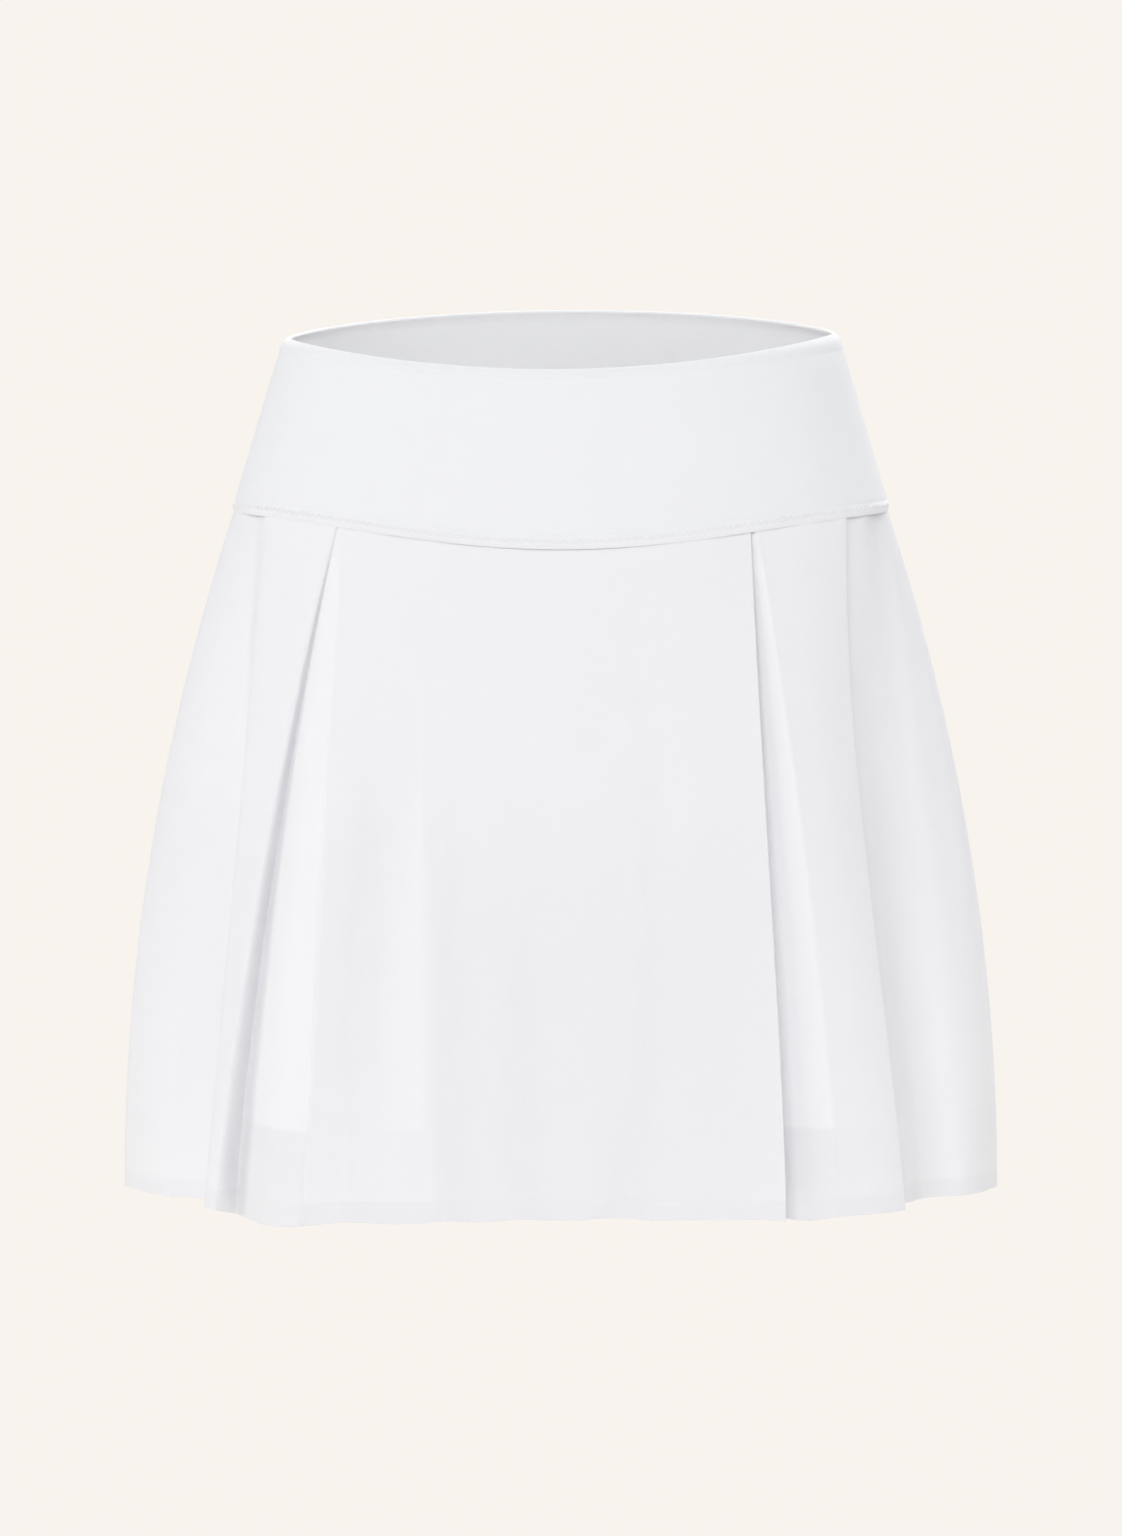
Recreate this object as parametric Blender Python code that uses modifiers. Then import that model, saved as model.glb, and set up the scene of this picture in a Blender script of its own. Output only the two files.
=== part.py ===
"""Women's tennis skirt, worn shape with nobody in it: a wide waistband, a flared skirt with two inverted
pleats in front and two behind, and the short tights sewn inside it.

The frame is +Z up, +X to the skirt's right as seen from the front, and -Y forward. The origin is the middle
of the waist opening, at the height of the rim over the hips, where the wearer's waist holds the skirt.
Tables and constants are in millimetres; MM turns them into metres when a mesh is made.

Plan sections are worked out first. A row of a fold table is one line that runs down the cloth, from the
waist seam (t = 0) to the hem (t = 1), and every level's section is a smooth curve through all the rows."""

import math
from collections import namedtuple

import bmesh
import bpy
import numpy as np

MM = 0.001

# Waist and waistband
RIM_HALF_WIDTH = 124.5
RIM_HALF_DEPTH = {"front": 86.0, "back": 87.0}
RIM_LIFT = {"front": -12.4, "back": 8.8}  # middle of the rim against its sides
RIM_LIFT_POWER = {"front": 2.0, "back": 1.5}  # lower keeps more of the lift near the sides
RIM_TILT = 1.1  # the right side of the rim sits this much above the level, the left below it
RIM_ROLL = 2.2  # how far the folded top edge leans in
RIM_ROLL_HEIGHT = 5.0
BAND_WALL = 2.0
BAND_SIDE_HEIGHT = 79.0
BAND_FOOT = 3.0  # the lowest stretch hangs straight down, so that the wall's bottom edge is level
BAND_STEPS = 30

# Waist seam, where the skirt and the tights hang from the band
SEAM_HALF_WIDTH = 147.0
SEAM_HALF_DEPTH = {"front": 101.0, "back": 103.0}
SEAM_LIFT = {"front": -12.1, "back": 3.0}
SEAM_LIFT_POWER = {"front": 4.0, "back": 2.0}

# Skirt
HEM_Z = -384.0
SKIRT_WALL = 1.0
DEPTH_EASE = 1.5
SEAM_GAP = 0.3
SKIRT_TOP_DROP = 0.45  # the wall leans out, so its outer edge comes to SEAM_GAP below the band
TURN_STEPS = 3  # straight steps round a pressed edge
COLUMN_PITCH = 10.5  # widest step along the hem
SKIRT_ROWS = 11
ROW_CROWDING = 1.15  # above 1, rows are closer together near the waist seam

# Tights
TIGHTS_WALL = 1.0
TIGHTS_RISE = 12.0  # how far their top edge stands up inside the band
TIGHTS_CLEAR = 0.65  # between the band's wall and theirs, both being many-sided ovals
TIGHTS_HALF_STEPS = 13

# A row of a fold table:
#   x_seam, x_hem   sideways place of the line at the seam and at the hem
#   set_back        how far behind the outer surface it starts, at the seam
#   depth_hem       how far in front of (or behind) the middle it ends, at the hem
#   ease            1 moves evenly down the cloth, more than 1 moves sooner
#   wave            extra depth low down, for soft ridges (+) and troughs (-)
#   turn            0 passes through, +1 folds back to the inside, -1 folds back to the outside
#   r_seam, r_hem   radius of that fold
#   heading         way the cloth runs at the hem, degrees from +X, minus towards the outside
Fold = namedtuple(
    "Fold",
    "name x_seam x_hem set_back depth_hem ease wave turn r_seam r_hem heading",
)

FRONT_FOLDS = [
    Fold("left side seam", -147, -196.8, 0, 0, 2.0, 0, 0, 0, 0, 0),
    Fold("left side", -146, -190, 0, 17, 2.0, 0, 0, 0, 0, 0),
    Fold("left side ridge", -143.6, -173, 0, 35, 1.9, 0, 0, 0, 0, 0),
    Fold("left side turn", -140.5, -156, 0.8, 42, 2.0, 0, 0, 0, 0, 0),
    Fold("left side valley", -137, -147, 2.2, 48, 1.2, 0, 0, 0, 0, 0),
    Fold("left flap roll", -135.2, -151, 1.6, 62, 1.1, 0, 0, 0, 0, 0),
    Fold("left flap edge", -132.5, -158, 0, 73, 1.0, 0, 0, 0, 0, 0),
    Fold("left flap", -118, -155, 0, 79, 1.1, 0, 0, 0, 0, 0),
    Fold("left flap fold", -99.3, -148.5, 1.2, 82.5, 1.35, 0, 1, 1.2, 2.0, -40),
    Fold("left flap tuck", -113, -149, 3.6, 73, 1.35, 0, 1, 1.2, 3.2, -50),
    Fold("left underlay", -98, -127, 4.8, 97, 1.2, 0, 0, 0, 0, 0),
    Fold("left panel tuck", -84, -109, 3.6, 124, 1.0, 0, -1, 1.2, 1.8, -8),
    Fold("left panel fold", -97, -114, 1.2, 130, 1.0, 0, -1, 1.2, 1.3, 10),
    Fold("panel 1", -84, -98, 0, 127, 1.0, 0, 0, 0, 0, 0),
    Fold("panel 2", -64, -72, 0, 124, 1.0, -1.5, 0, 0, 0, 0),
    Fold("panel 3", -46, -50, 0, 123, 1.0, -2.5, 0, 0, 0, 0),
    Fold("panel 4", -30, -34, 0, 123, 1.0, 1.0, 0, 0, 0, 0),
    Fold("panel 5", -16, -19, 0, 123, 1.0, -2.0, 0, 0, 0, 0),
    Fold("panel 6", 3, 2, 0, 123, 1.0, 1.0, 0, 0, 0, 0),
    Fold("panel 7", 26, 23, 0, 123, 1.0, -3.5, 0, 0, 0, 0),
    Fold("panel 8", 44, 45, 0, 123, 1.0, 1.0, 0, 0, 0, 0),
    Fold("panel 9", 62, 70, 0, 122, 1.0, 0, 0, 0, 0, 0),
    Fold("right panel fold", 84, 98.4, 1.2, 118, 1.0, 0, 1, 1.2, 1.3, 12),
    Fold("right panel tuck", 70, 90.5, 3.6, 112, 1.0, 0, 1, 1.2, 3.0, 8),
    Fold("right underlay", 85, 111, 4.8, 108, 1.1, 0, 0, 0, 0, 0),
    Fold("right flap tuck", 101, 129.2, 3.6, 100, 1.3, 0, -1, 1.2, 1.8, 32),
    Fold("right flap fold", 86.6, 124.5, 1.2, 108, 1.3, 0, -1, 1.2, 1.2, 36),
    Fold("right flap", 107, 139, 0, 97, 1.1, 0, 0, 0, 0, 0),
    Fold("right flap edge", 127, 151.4, 0, 84, 0.85, 0, 0, 0, 0, 0),
    Fold("right flap roll", 129.6, 149, 1.6, 73, 0.9, 0, 0, 0, 0, 0),
    Fold("right side valley", 131.6, 147, 2.2, 64, 1.0, 0, 0, 0, 0, 0),
    Fold("right side step", 134.6, 152, 0, 56, 1.6, 0, 0, 0, 0, 0),
    Fold("right side groove", 139.2, 159.5, 1.4, 43, 2.0, 0, 0, 0, 0, 0),
    Fold("right side ridge", 142.4, 172, 0, 33, 2.0, 0, 0, 0, 0, 0),
    Fold("right side", 145.2, 188, 0, 17, 2.0, 0, 0, 0, 0, 0),
    Fold("right side seam", 147, 196.8, 0, 0, 2.0, 0, 0, 0, 0, 0),
]

BACK_FOLDS = [
    Fold("left side seam", -147, -196.8, 0, 0, 2.0, 0, 0, 0, 0, 0),
    Fold("left side", -144.8, -189, 0, 18, 2.0, 0, 0, 0, 0, 0),
    Fold("left side ridge", -139, -171, 0, 37, 1.9, 0, 0, 0, 0, 0),
    Fold("left side valley", -132.6, -152, 2.0, 48, 1.3, 0, 0, 0, 0, 0),
    Fold("left flap edge", -127, -154, 0, 72, 1.1, 0, 0, 0, 0, 0),
    Fold("left flap", -112, -142, 0, 88, 1.1, 0, 0, 0, 0, 0),
    Fold("left flap fold", -93.4, -131, 1.2, 96, 1.3, 0, 1, 1.2, 1.6, -32),
    Fold("left flap tuck", -107, -135, 3.6, 86, 1.3, 0, 1, 1.2, 2.8, -35),
    Fold("left underlay", -92, -117, 4.8, 101, 1.2, 0, 0, 0, 0, 0),
    Fold("left panel tuck", -77, -98, 3.6, 115, 1.0, 0, -1, 1.2, 1.8, -10),
    Fold("left panel fold", -91.2, -104, 1.2, 120, 1.0, 0, -1, 1.2, 1.3, 0),
    Fold("panel 1", -72, -82, 0, 121, 1.0, 0, 0, 0, 0, 0),
    Fold("panel 2", -46, -52, 0, 122, 1.0, -3.0, 0, 0, 0, 0),
    Fold("panel 3", -24, -28, 0, 123, 1.0, 1.0, 0, 0, 0, 0),
    Fold("panel 4", 0, 0, 0, 123, 1.0, -2.5, 0, 0, 0, 0),
    Fold("panel 5", 25, 27, 0, 123, 1.0, 1.5, 0, 0, 0, 0),
    Fold("panel 6", 47, 54, 0, 122, 1.0, -3.5, 0, 0, 0, 0),
    Fold("panel 7", 72, 82, 0, 121, 1.0, 0, 0, 0, 0, 0),
    Fold("right panel fold", 91.2, 106, 1.2, 118, 1.0, 0, 1, 1.2, 1.3, 4),
    Fold("right panel tuck", 77, 99, 3.6, 112, 1.0, 0, 1, 1.2, 2.2, 8),
    Fold("right underlay", 92, 117, 4.8, 103, 1.2, 0, 0, 0, 0, 0),
    Fold("right flap tuck", 107, 133, 3.6, 88, 1.3, 0, -1, 1.2, 2.4, 34),
    Fold("right flap fold", 93.4, 129, 1.2, 98, 1.3, 0, -1, 1.2, 1.4, 32),
    Fold("right flap", 112, 142, 0, 87, 1.1, 0, 0, 0, 0, 0),
    Fold("right flap edge", 127, 155, 0, 71, 1.1, 0, 0, 0, 0, 0),
    Fold("right side valley", 132.6, 153, 2.0, 49, 1.3, 0, 0, 0, 0, 0),
    Fold("right side ridge", 139, 172, 0, 36, 1.9, 0, 0, 0, 0, 0),
    Fold("right side", 144.8, 189, 0, 18, 2.0, 0, 0, 0, 0, 0),
    Fold("right side seam", 147, 196.8, 0, 0, 2.0, 0, 0, 0, 0, 0),
]

# A level of the tights round the hips.
#   z_side, z_middle         height at the hip, and at the centre seam
#   half_width, half_depth   of the oval round both hips
#   fullness                 2 is a true oval, more is squarer
HipLevel = namedtuple("HipLevel", "z_side z_middle half_width half_depth fullness")

HIP_LEVELS = [
    HipLevel(-79.0, -84.0, 141.0, 91.0, 2.0),
    HipLevel(-125.0, -128.0, 143.5, 93.5, 2.05),
    HipLevel(-168.0, -168.0, 147.0, 95.0, 2.15),
    HipLevel(-205.0, -205.0, 149.5, 95.5, 2.3),
]

# A level of one leg of the tights: height, distance of its middle from the centre, and its half sizes.
LegLevel = namedtuple("LegLevel", "z middle half_width half_depth")

LEG_LEVELS = [
    LegLevel(-262.0, 76.0, 75.3, 88.0),
    LegLevel(-288.0, 84.0, 68.0, 85.0),
    LegLevel(-317.0, 89.0, 63.5, 82.0),
    LegLevel(-345.0, 92.0, 60.5, 80.0),
]

CROTCH_STEPS = 5  # levels from the last one round the hips to the first one round a leg
LEG_CROWDING = 1.4  # above 1, columns are closer on the outside of a leg, as they are round the hips


def settle(t, ease):
    """Share of the way from seam to hem at height t: 1 - (1 - t) ** ease."""
    return 1.0 - (1.0 - t) ** ease


def oval_depth(x, half_width, half_depth):
    """Distance from the middle plane of an oval, at a sideways place."""
    inside = max(0.0, 1.0 - (x / half_width) ** 2)
    return half_depth * math.sqrt(inside)


def seam_height(side, x):
    """Height of the waist seam at a sideways place: the front dips, the back rises a little."""
    share = oval_depth(x, SEAM_HALF_WIDTH, 1.0)
    return -BAND_SIDE_HEIGHT + SEAM_LIFT[side] * share ** SEAM_LIFT_POWER[side]


def seam_point(side, x, set_back):
    """Plan point at the waist seam, set back from the outer oval: (x, depth)."""
    return x * (1.0 - set_back / SEAM_HALF_WIDTH), oval_depth(
        x, SEAM_HALF_WIDTH, SEAM_HALF_DEPTH[side]
    ) * (1.0 - set_back / SEAM_HALF_DEPTH[side])


def fold_point(side, fold, t):
    """Plan point of one fold line at height t: (x, depth)."""
    x_top, depth_top = seam_point(side, fold.x_seam, fold.set_back + SKIRT_WALL / 2)
    x = x_top + (fold.x_hem - x_top) * settle(t, fold.ease)
    depth = depth_top + (fold.depth_hem - depth_top) * settle(t, DEPTH_EASE)
    return np.array([x, depth + fold.wave * t * t])


def fold_heading(side, fold, t):
    """Unit vector along the cloth at a pressed edge, from the oval's tangent at the seam to the hem's heading."""
    reach = math.sqrt(max(1e-6, SEAM_HALF_WIDTH**2 - fold.x_seam**2))
    slope = SEAM_HALF_DEPTH[side] / SEAM_HALF_WIDTH * fold.x_seam / reach
    angle = math.atan(slope)
    angle += (math.radians(fold.heading) - angle) * settle(t, DEPTH_EASE)
    return np.array([math.cos(angle), -math.sin(angle)])


def turned_edge(side, fold, travel, t):
    """Half circle round a pressed edge whose outermost point is the fold point; travel is +1 or -1."""
    tip = fold_point(side, fold, t)
    heading = fold_heading(side, fold, t)
    along = travel * heading
    inward = np.array([heading[1], -heading[0]])
    radius = fold.r_seam + (fold.r_hem - fold.r_seam) * t
    centre = tip - along * radius
    points = []
    for step in range(TURN_STEPS + 1):
        angle = math.pi * step / TURN_STEPS
        points.append(
            centre
            + radius * (along * math.sin(angle) - inward * fold.turn * math.cos(angle))
        )
    return points


def control_points(side, folds, t):
    """All points that the section at height t passes through, and which spans between them are kept straight."""
    travel = 1
    points = []
    turned = []
    for fold in folds:
        if fold.turn:
            arc = turned_edge(side, fold, travel, t)
            points += arc
            turned += [True] * TURN_STEPS + [False]
            travel = -travel
        else:
            points.append(fold_point(side, fold, t))
            turned.append(False)
    return np.array(points), turned[:-1]


def spline(points, counts):
    """Catmull-Rom curve through the points, spaced by the square root of their distances, with so many steps a span.
    Each end is carried on by its mirror image past the side seam, so that the cloth meets the seam square."""
    mirror = np.array([1.0, -1.0])
    padded = np.vstack([points[1] * mirror, points, points[-2] * mirror])
    knots = np.concatenate(
        [[0.0], np.cumsum(np.sqrt(np.linalg.norm(np.diff(padded, axis=0), axis=1)))]
    )
    out = [points[0]]
    for i, count in enumerate(counts):
        p, k = padded[i : i + 4], knots[i : i + 4]
        for step in range(1, count + 1):
            u = k[1] + (k[2] - k[1]) * step / count
            a1 = (k[1] - u) / (k[1] - k[0]) * p[0] + (u - k[0]) / (k[1] - k[0]) * p[1]
            a2 = (k[2] - u) / (k[2] - k[1]) * p[1] + (u - k[1]) / (k[2] - k[1]) * p[2]
            a3 = (k[3] - u) / (k[3] - k[2]) * p[2] + (u - k[2]) / (k[3] - k[2]) * p[3]
            b1 = (k[2] - u) / (k[2] - k[0]) * a1 + (u - k[0]) / (k[2] - k[0]) * a2
            b2 = (k[3] - u) / (k[3] - k[1]) * a2 + (u - k[1]) / (k[3] - k[1]) * a3
            out.append((k[2] - u) / (k[2] - k[1]) * b1 + (u - k[1]) / (k[2] - k[1]) * b2)
    return np.array(out)


def column_counts(side, folds):
    """Steps for each span of the section, from its length at the hem and at the seam."""
    counts = []
    hem, turned = control_points(side, folds, 1.0)
    seam, _ = control_points(side, folds, 0.0)
    for i, round_edge in enumerate(turned):
        span = max(np.linalg.norm(hem[i + 1] - hem[i]), np.linalg.norm(seam[i + 1] - seam[i]))
        counts.append(1 if round_edge else max(1, math.ceil(span / COLUMN_PITCH)))
    return counts


def skirt_grid(side, folds):
    """Rows of points from the waist seam to the hem, as an array of rows x columns x 3, in millimetres."""
    counts = column_counts(side, folds)
    top = spline(control_points(side, folds, 0.0)[0], counts)
    z_top = np.array([seam_height(side, x) for x in top[:, 0]]) - SKIRT_TOP_DROP
    forward = -1.0 if side == "front" else 1.0
    rows = []
    for i in range(SKIRT_ROWS + 1):
        t = (i / SKIRT_ROWS) ** ROW_CROWDING
        plan = spline(control_points(side, folds, t)[0], counts)
        z = z_top + (HEM_Z - z_top) * t
        rows.append(np.column_stack([plan[:, 0], forward * (plan[:, 1] + SEAM_GAP / 2), z]))
    return np.array(rows)


def band_oval(side, drop):
    """Half width and half depth of the band's outer surface, so far below the rim: it flares, then hangs straight."""
    flare = min(1.0, drop / (BAND_SIDE_HEIGHT - BAND_FOOT))
    half_width = RIM_HALF_WIDTH + (SEAM_HALF_WIDTH - RIM_HALF_WIDTH) * flare
    half_depth = RIM_HALF_DEPTH[side] + (SEAM_HALF_DEPTH[side] - RIM_HALF_DEPTH[side]) * flare
    roll = RIM_ROLL * max(0.0, 1.0 - drop / RIM_ROLL_HEIGHT) ** 2
    return half_width - roll, half_depth - roll


def band_grid(side):
    """The waistband's outer surface: half ovals from the rim down to the waist seam."""
    forward = -1.0 if side == "front" else 1.0
    angle = np.linspace(math.pi, 0.0, BAND_STEPS + 1)
    rim_z = RIM_LIFT[side] * np.sin(angle) ** RIM_LIFT_POWER[side] + RIM_TILT * np.cos(angle)
    seam_z = -BAND_SIDE_HEIGHT + SEAM_LIFT[side] * np.sin(angle) ** SEAM_LIFT_POWER[side]
    flare_height = BAND_SIDE_HEIGHT - BAND_FOOT
    drops = [0.0, RIM_ROLL_HEIGHT / 3, RIM_ROLL_HEIGHT]
    drops += [flare_height / 3, flare_height * 2 / 3, flare_height, BAND_SIDE_HEIGHT]
    rows = []
    for drop in drops:
        half_width, half_depth = band_oval(side, drop)
        x = half_width * np.cos(angle)
        depth = half_depth * np.sin(angle) + SEAM_GAP / 2
        z = rim_z + (seam_z - rim_z) * drop / BAND_SIDE_HEIGHT
        rows.append(np.column_stack([x, forward * depth, z]))
    return np.array(rows)


def tights_top(s):
    """Top edge of the tights, inside the band and following its seam: s runs from -1 in front to 1 behind."""
    hip = np.radians(90.0 * s)
    inset = BAND_WALL + TIGHTS_CLEAR + TIGHTS_WALL / 2
    drop = BAND_SIDE_HEIGHT - TIGHTS_RISE
    half_width = band_oval("front", drop)[0] - inset
    half_depth = {side: band_oval(side, drop)[1] - inset for side in ("front", "back")}
    lift = {
        side: SEAM_LIFT[side] * np.abs(np.sin(hip)) ** SEAM_LIFT_POWER[side]
        for side in ("front", "back")
    }
    x = half_width * np.cos(hip) + SEAM_GAP / 2
    y = np.where(s < 0, half_depth["front"], half_depth["back"]) * np.sin(hip)
    z = -drop + np.where(s < 0, lift["front"], lift["back"])
    return np.column_stack([x, y, z])


def hip_section(level, s):
    """Half of a full oval round both hips: x and depth are the powers 2 / fullness of a circle's, times its half sizes."""
    hip = math.pi / 2 * s
    power = 2.0 / level.fullness
    across = level.half_width * np.cos(hip) ** power
    return np.column_stack([across, level.half_depth * np.sign(s) * np.abs(np.sin(hip)) ** power])


def leg_section(level, s):
    """The whole oval of one leg, from the inseam round the outside and back to the inseam."""
    leg = math.pi * np.sign(s) * np.abs(s) ** LEG_CROWDING
    across = level.middle + TIGHTS_WALL / 2 + level.half_width * np.cos(leg)
    return np.column_stack([across, level.half_depth * np.sin(leg)])


def tights_row(plan, z_side, z_middle, s):
    """A row of points of one half: its section, held off the centre plane, at a height that bends towards the middle."""
    z = z_side + (z_middle - z_side) * np.abs(s) ** 3
    return np.column_stack([plan[:, 0] + SEAM_GAP / 2, plan[:, 1], z])


def crotch_rows(s):
    """Rows from the hips to the legs. The centre seam runs down and under along a quarter of an oval, and the sections
    pass from half of the hips' oval to the leg's whole one by the same quarter turn."""
    hips, leg = HIP_LEVELS[-1], LEG_LEVELS[0]
    rows = []
    for step in range(1, CROTCH_STEPS):
        turn = math.pi / 2 * step / CROTCH_STEPS
        share = 1.0 - math.cos(turn)
        plan = (1.0 - share) * hip_section(hips, s) + share * leg_section(leg, s)
        z_side = hips.z_side + (leg.z - hips.z_side) * step / CROTCH_STEPS
        z_middle = hips.z_side + (leg.z - hips.z_side) * math.sin(turn)
        rows.append(tights_row(plan, z_side, z_middle, s))
    return rows


def tights_grid(hand):
    """One leg and its half of the hips: rows from the top edge to the leg hem, from front seam round to back seam."""
    s = np.linspace(-1.0, 1.0, 2 * TIGHTS_HALF_STEPS + 1)
    rows = [tights_top(s)]
    rows += [tights_row(hip_section(level, s), level.z_side, level.z_middle, s) for level in HIP_LEVELS]
    rows += crotch_rows(s)
    rows += [tights_row(leg_section(level, s), level.z, level.z, s) for level in LEG_LEVELS]
    grid = np.array(rows)
    grid[:, :, 0] *= hand
    return grid


def sheet_mesh(name, grid, turn_over):
    """Open surface on a grid of points, with its doubles merged. Its rows run down and its columns to +X, so that
    its faces look to -Y unless they are turned over."""
    rows, columns, _ = grid.shape
    index = np.arange(rows * columns).reshape(rows, columns)
    quads = np.stack([index[:-1, :-1], index[1:, :-1], index[1:, 1:], index[:-1, 1:]], axis=-1)
    mesh = bpy.data.meshes.new(name)
    mesh.from_pydata((grid.reshape(-1, 3) * MM).tolist(), [], quads.reshape(-1, 4).tolist())
    bm = bmesh.new()
    bm.from_mesh(mesh)
    bmesh.ops.remove_doubles(bm, verts=bm.verts, dist=1e-6)
    if turn_over:
        bmesh.ops.reverse_faces(bm, faces=bm.faces)
    bm.to_mesh(mesh)
    bm.free()
    mesh.shade_smooth()
    return mesh


def cloth_material(name, colour, roughness):
    """Matte knit in one plain colour."""
    material = bpy.data.materials.new(name)
    material.use_nodes = True
    shader = material.node_tree.nodes["Principled BSDF"]
    shader.inputs["Base Color"].default_value = (*colour, 1.0)
    shader.inputs["Roughness"].default_value = roughness
    shader.inputs["Metallic"].default_value = 0.0
    return material


def cloth_piece(collection, name, grid, wall, offset, turn_over, material):
    """One sewn piece: its surface, thickened into a closed wall."""
    piece = bpy.data.objects.new(name, sheet_mesh(name, grid, turn_over))
    piece.data.materials.append(material)
    solidify = piece.modifiers.new("Wall", "SOLIDIFY")
    solidify.thickness = wall * MM
    solidify.offset = offset
    solidify.use_even_offset = True
    solidify.use_quality_normals = True
    collection.objects.link(piece)
    return piece


def main():
    for old in list(bpy.data.objects):
        bpy.data.objects.remove(old, do_unlink=True)
    collection = bpy.data.collections.new("Tennis_skirt")
    bpy.context.scene.collection.children.link(collection)
    band_cloth = cloth_material("Band knit", (0.86, 0.87, 0.89), 0.75)
    skirt_cloth = cloth_material("Skirt weave", (0.84, 0.84, 0.86), 0.7)
    tights_cloth = cloth_material("Tights knit", (0.82, 0.83, 0.85), 0.7)
    for side, folds in (("front", FRONT_FOLDS), ("back", BACK_FOLDS)):
        turn_over = side == "back"
        cloth_piece(
            collection, f"waistband_{side}", band_grid(side), BAND_WALL, -1.0, turn_over, band_cloth
        )
        cloth_piece(
            collection, f"skirt_{side}", skirt_grid(side, folds), SKIRT_WALL, 0.0, turn_over, skirt_cloth
        )
    for side, hand in (("left", -1.0), ("right", 1.0)):
        cloth_piece(
            collection, f"tights_{side}", tights_grid(hand), TIGHTS_WALL, 0.0, hand < 0, tights_cloth
        )


main()
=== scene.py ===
"""Looks of the tennis skirt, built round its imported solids: thin cloth shells on the solids' form, with their
pressed pleats, soft folds, seams and stitching, and with a knit or woven finish.

The frame is the part's own: +Z up, +X to the skirt's right as seen from the front, -Y forward, and the
origin in the middle of the waist opening. Constants are in millimetres and degrees, and MM turns them into
metres when a mesh is made. A surface is a grid of points, rows x columns x 3: rows run down the cloth, and
columns to +X. A side is the front or the back half."""

import math
from collections import namedtuple

import bpy
import numpy as np
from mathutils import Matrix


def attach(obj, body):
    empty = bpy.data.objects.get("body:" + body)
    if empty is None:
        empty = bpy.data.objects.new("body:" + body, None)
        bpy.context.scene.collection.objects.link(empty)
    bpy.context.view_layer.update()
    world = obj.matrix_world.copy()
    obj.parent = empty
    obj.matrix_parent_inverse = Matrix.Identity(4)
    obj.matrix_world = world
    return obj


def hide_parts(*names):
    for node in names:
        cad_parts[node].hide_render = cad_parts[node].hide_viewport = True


MM = 0.001


def named_rows(kind, front, back):
    """Table for each side, whose rows are made into named ones of a kind."""
    return {"front": [kind(*row) for row in front], "back": [kind(*row) for row in back]}


# A soft line along an edge of the cloth: distance from the edge, width, height (negative in a groove), and
# what it has more of in the middle of a side
Ridge = namedtuple("Ridge", "place width height middle", defaults=[0.0])

# Small puckers along a seam: seed in front (the back has the next one), count, reach down the cloth, height
Puckers = namedtuple("Puckers", "seed count reach height")
PUCKER_WIDTHS = (1.4, 3.2)
PUCKER_LENGTHS = (0.4, 1.0)  # shares of their reach

# A cloth's wall; height, thickness and fade of the cloth turned up inside at its hem; and blunt, the square
# of the share of the wall that is left at the very edge
Hem = namedtuple("Hem", "wall height layer fade blunt")

# Places where a grid's rows are closer, as (distance, reach, step): down from its top, then up from its foot
BAND_FINE_ROWS = [(3.5, 3.5, 0.5), (0.0, 0.9, 0.15)], [(3.5, 3.5, 0.4)]
SKIRT_FINE_ROWS = [(4.0, 4.0, 0.8)], [(8.0, 1.2, 0.4), (0.0, 0.6, 0.1), (0.0, 2.0, 0.5)]

# Waist and waistband
RIM_HALF_WIDTH = 124.5
RIM_HALF_DEPTH = {"front": 86.0, "back": 87.0}
RIM_LIFT = {"front": -12.4, "back": 8.8}
RIM_LIFT_POWER = {"front": 2.0, "back": 1.5}
RIM_TILT = 1.1
RIM_ROLL = {"front": 2.0, "back": 0.7}  # in the middle of a side
RIM_ROLL_HIPS = 2.2
RIM_ROLL_HEIGHT = 5.0
BAND_SIDE_HEIGHT = 79.0
BAND_FOOT = 3.0
BAND_WALL = 1.8  # two layers of knit with the elastic between them
BAND_LIP = 4.0  # height of the thin edge that laps over the top of the skirt
BAND_LIP_WALL = 0.35
BAND_LIP_FADE = 2.5
BAND_BLUNT = 0.02  # as a hem's, at the rim
RIM_SWELL = Ridge(2.6, 1.8, 0.25)
RIM_CREASE = Ridge(5.0, 0.9, -0.25)
RIM_CREASE_DIP = 2.5  # how much lower it is at the hips
SEAM_RIDGES = (Ridge(2.2, 1.6, 0.1, 0.25), Ridge(5.6, 0.7, -0.2), Ridge(0.0, 0.9, -0.25, 0.15))
SEAM_RIDGE_REACH = 42.0  # degrees from the middle over which that fades
BAND_SIDE_SEAM = Ridge(0.0, 1.2, -0.6)
BAND_PUCKERS = Puckers(31, 70, 9.0, 0.12)
BAND_COLUMNS = 260
BAND_PITCH = 1.6

# Waist seam
SEAM_HALF_WIDTH = 147.0
SEAM_HALF_DEPTH = {"front": 101.0, "back": 103.0}
SEAM_LIFT = {"front": -12.1, "back": 3.0}
SEAM_LIFT_POWER = {"front": 4.0, "back": 2.0}

# Skirt
HEM_Z = -384.0
SOLID_WALL = 1.0  # the solids' wall, whose middle the shells follow
SKIRT_LAP = 2.0  # how far the skirt's top edge goes up behind the band's lip
SKIRT_TUCK = 0.4  # how far back it is there
SKIRT_SAG = {"front": 0.42, "back": 0.3}  # and further in the middle
SKIRT_SAG_REACH = 26.0
SKIRT_TUCK_FADE = 3.5
SKIRT_SAG_FADE = 7.0
DEPTH_EASE = 1.5
BOW_SCALE = 27 / 4  # 1 over the largest t (1 - t)^2, which is at a third of the way down
SEAM_GAP = 0.3
TURN_STEPS = 8
COLUMN_PITCH = 2.6
ROW_PITCH = 2.6
LEAST_ROW_STEP = 0.04
SKIRT_HEM = Hem(0.6, 8.0, 0.4, 0.4, 0.02)
HEM_LINE = Ridge(8.0, 0.5, -0.07)
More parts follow.
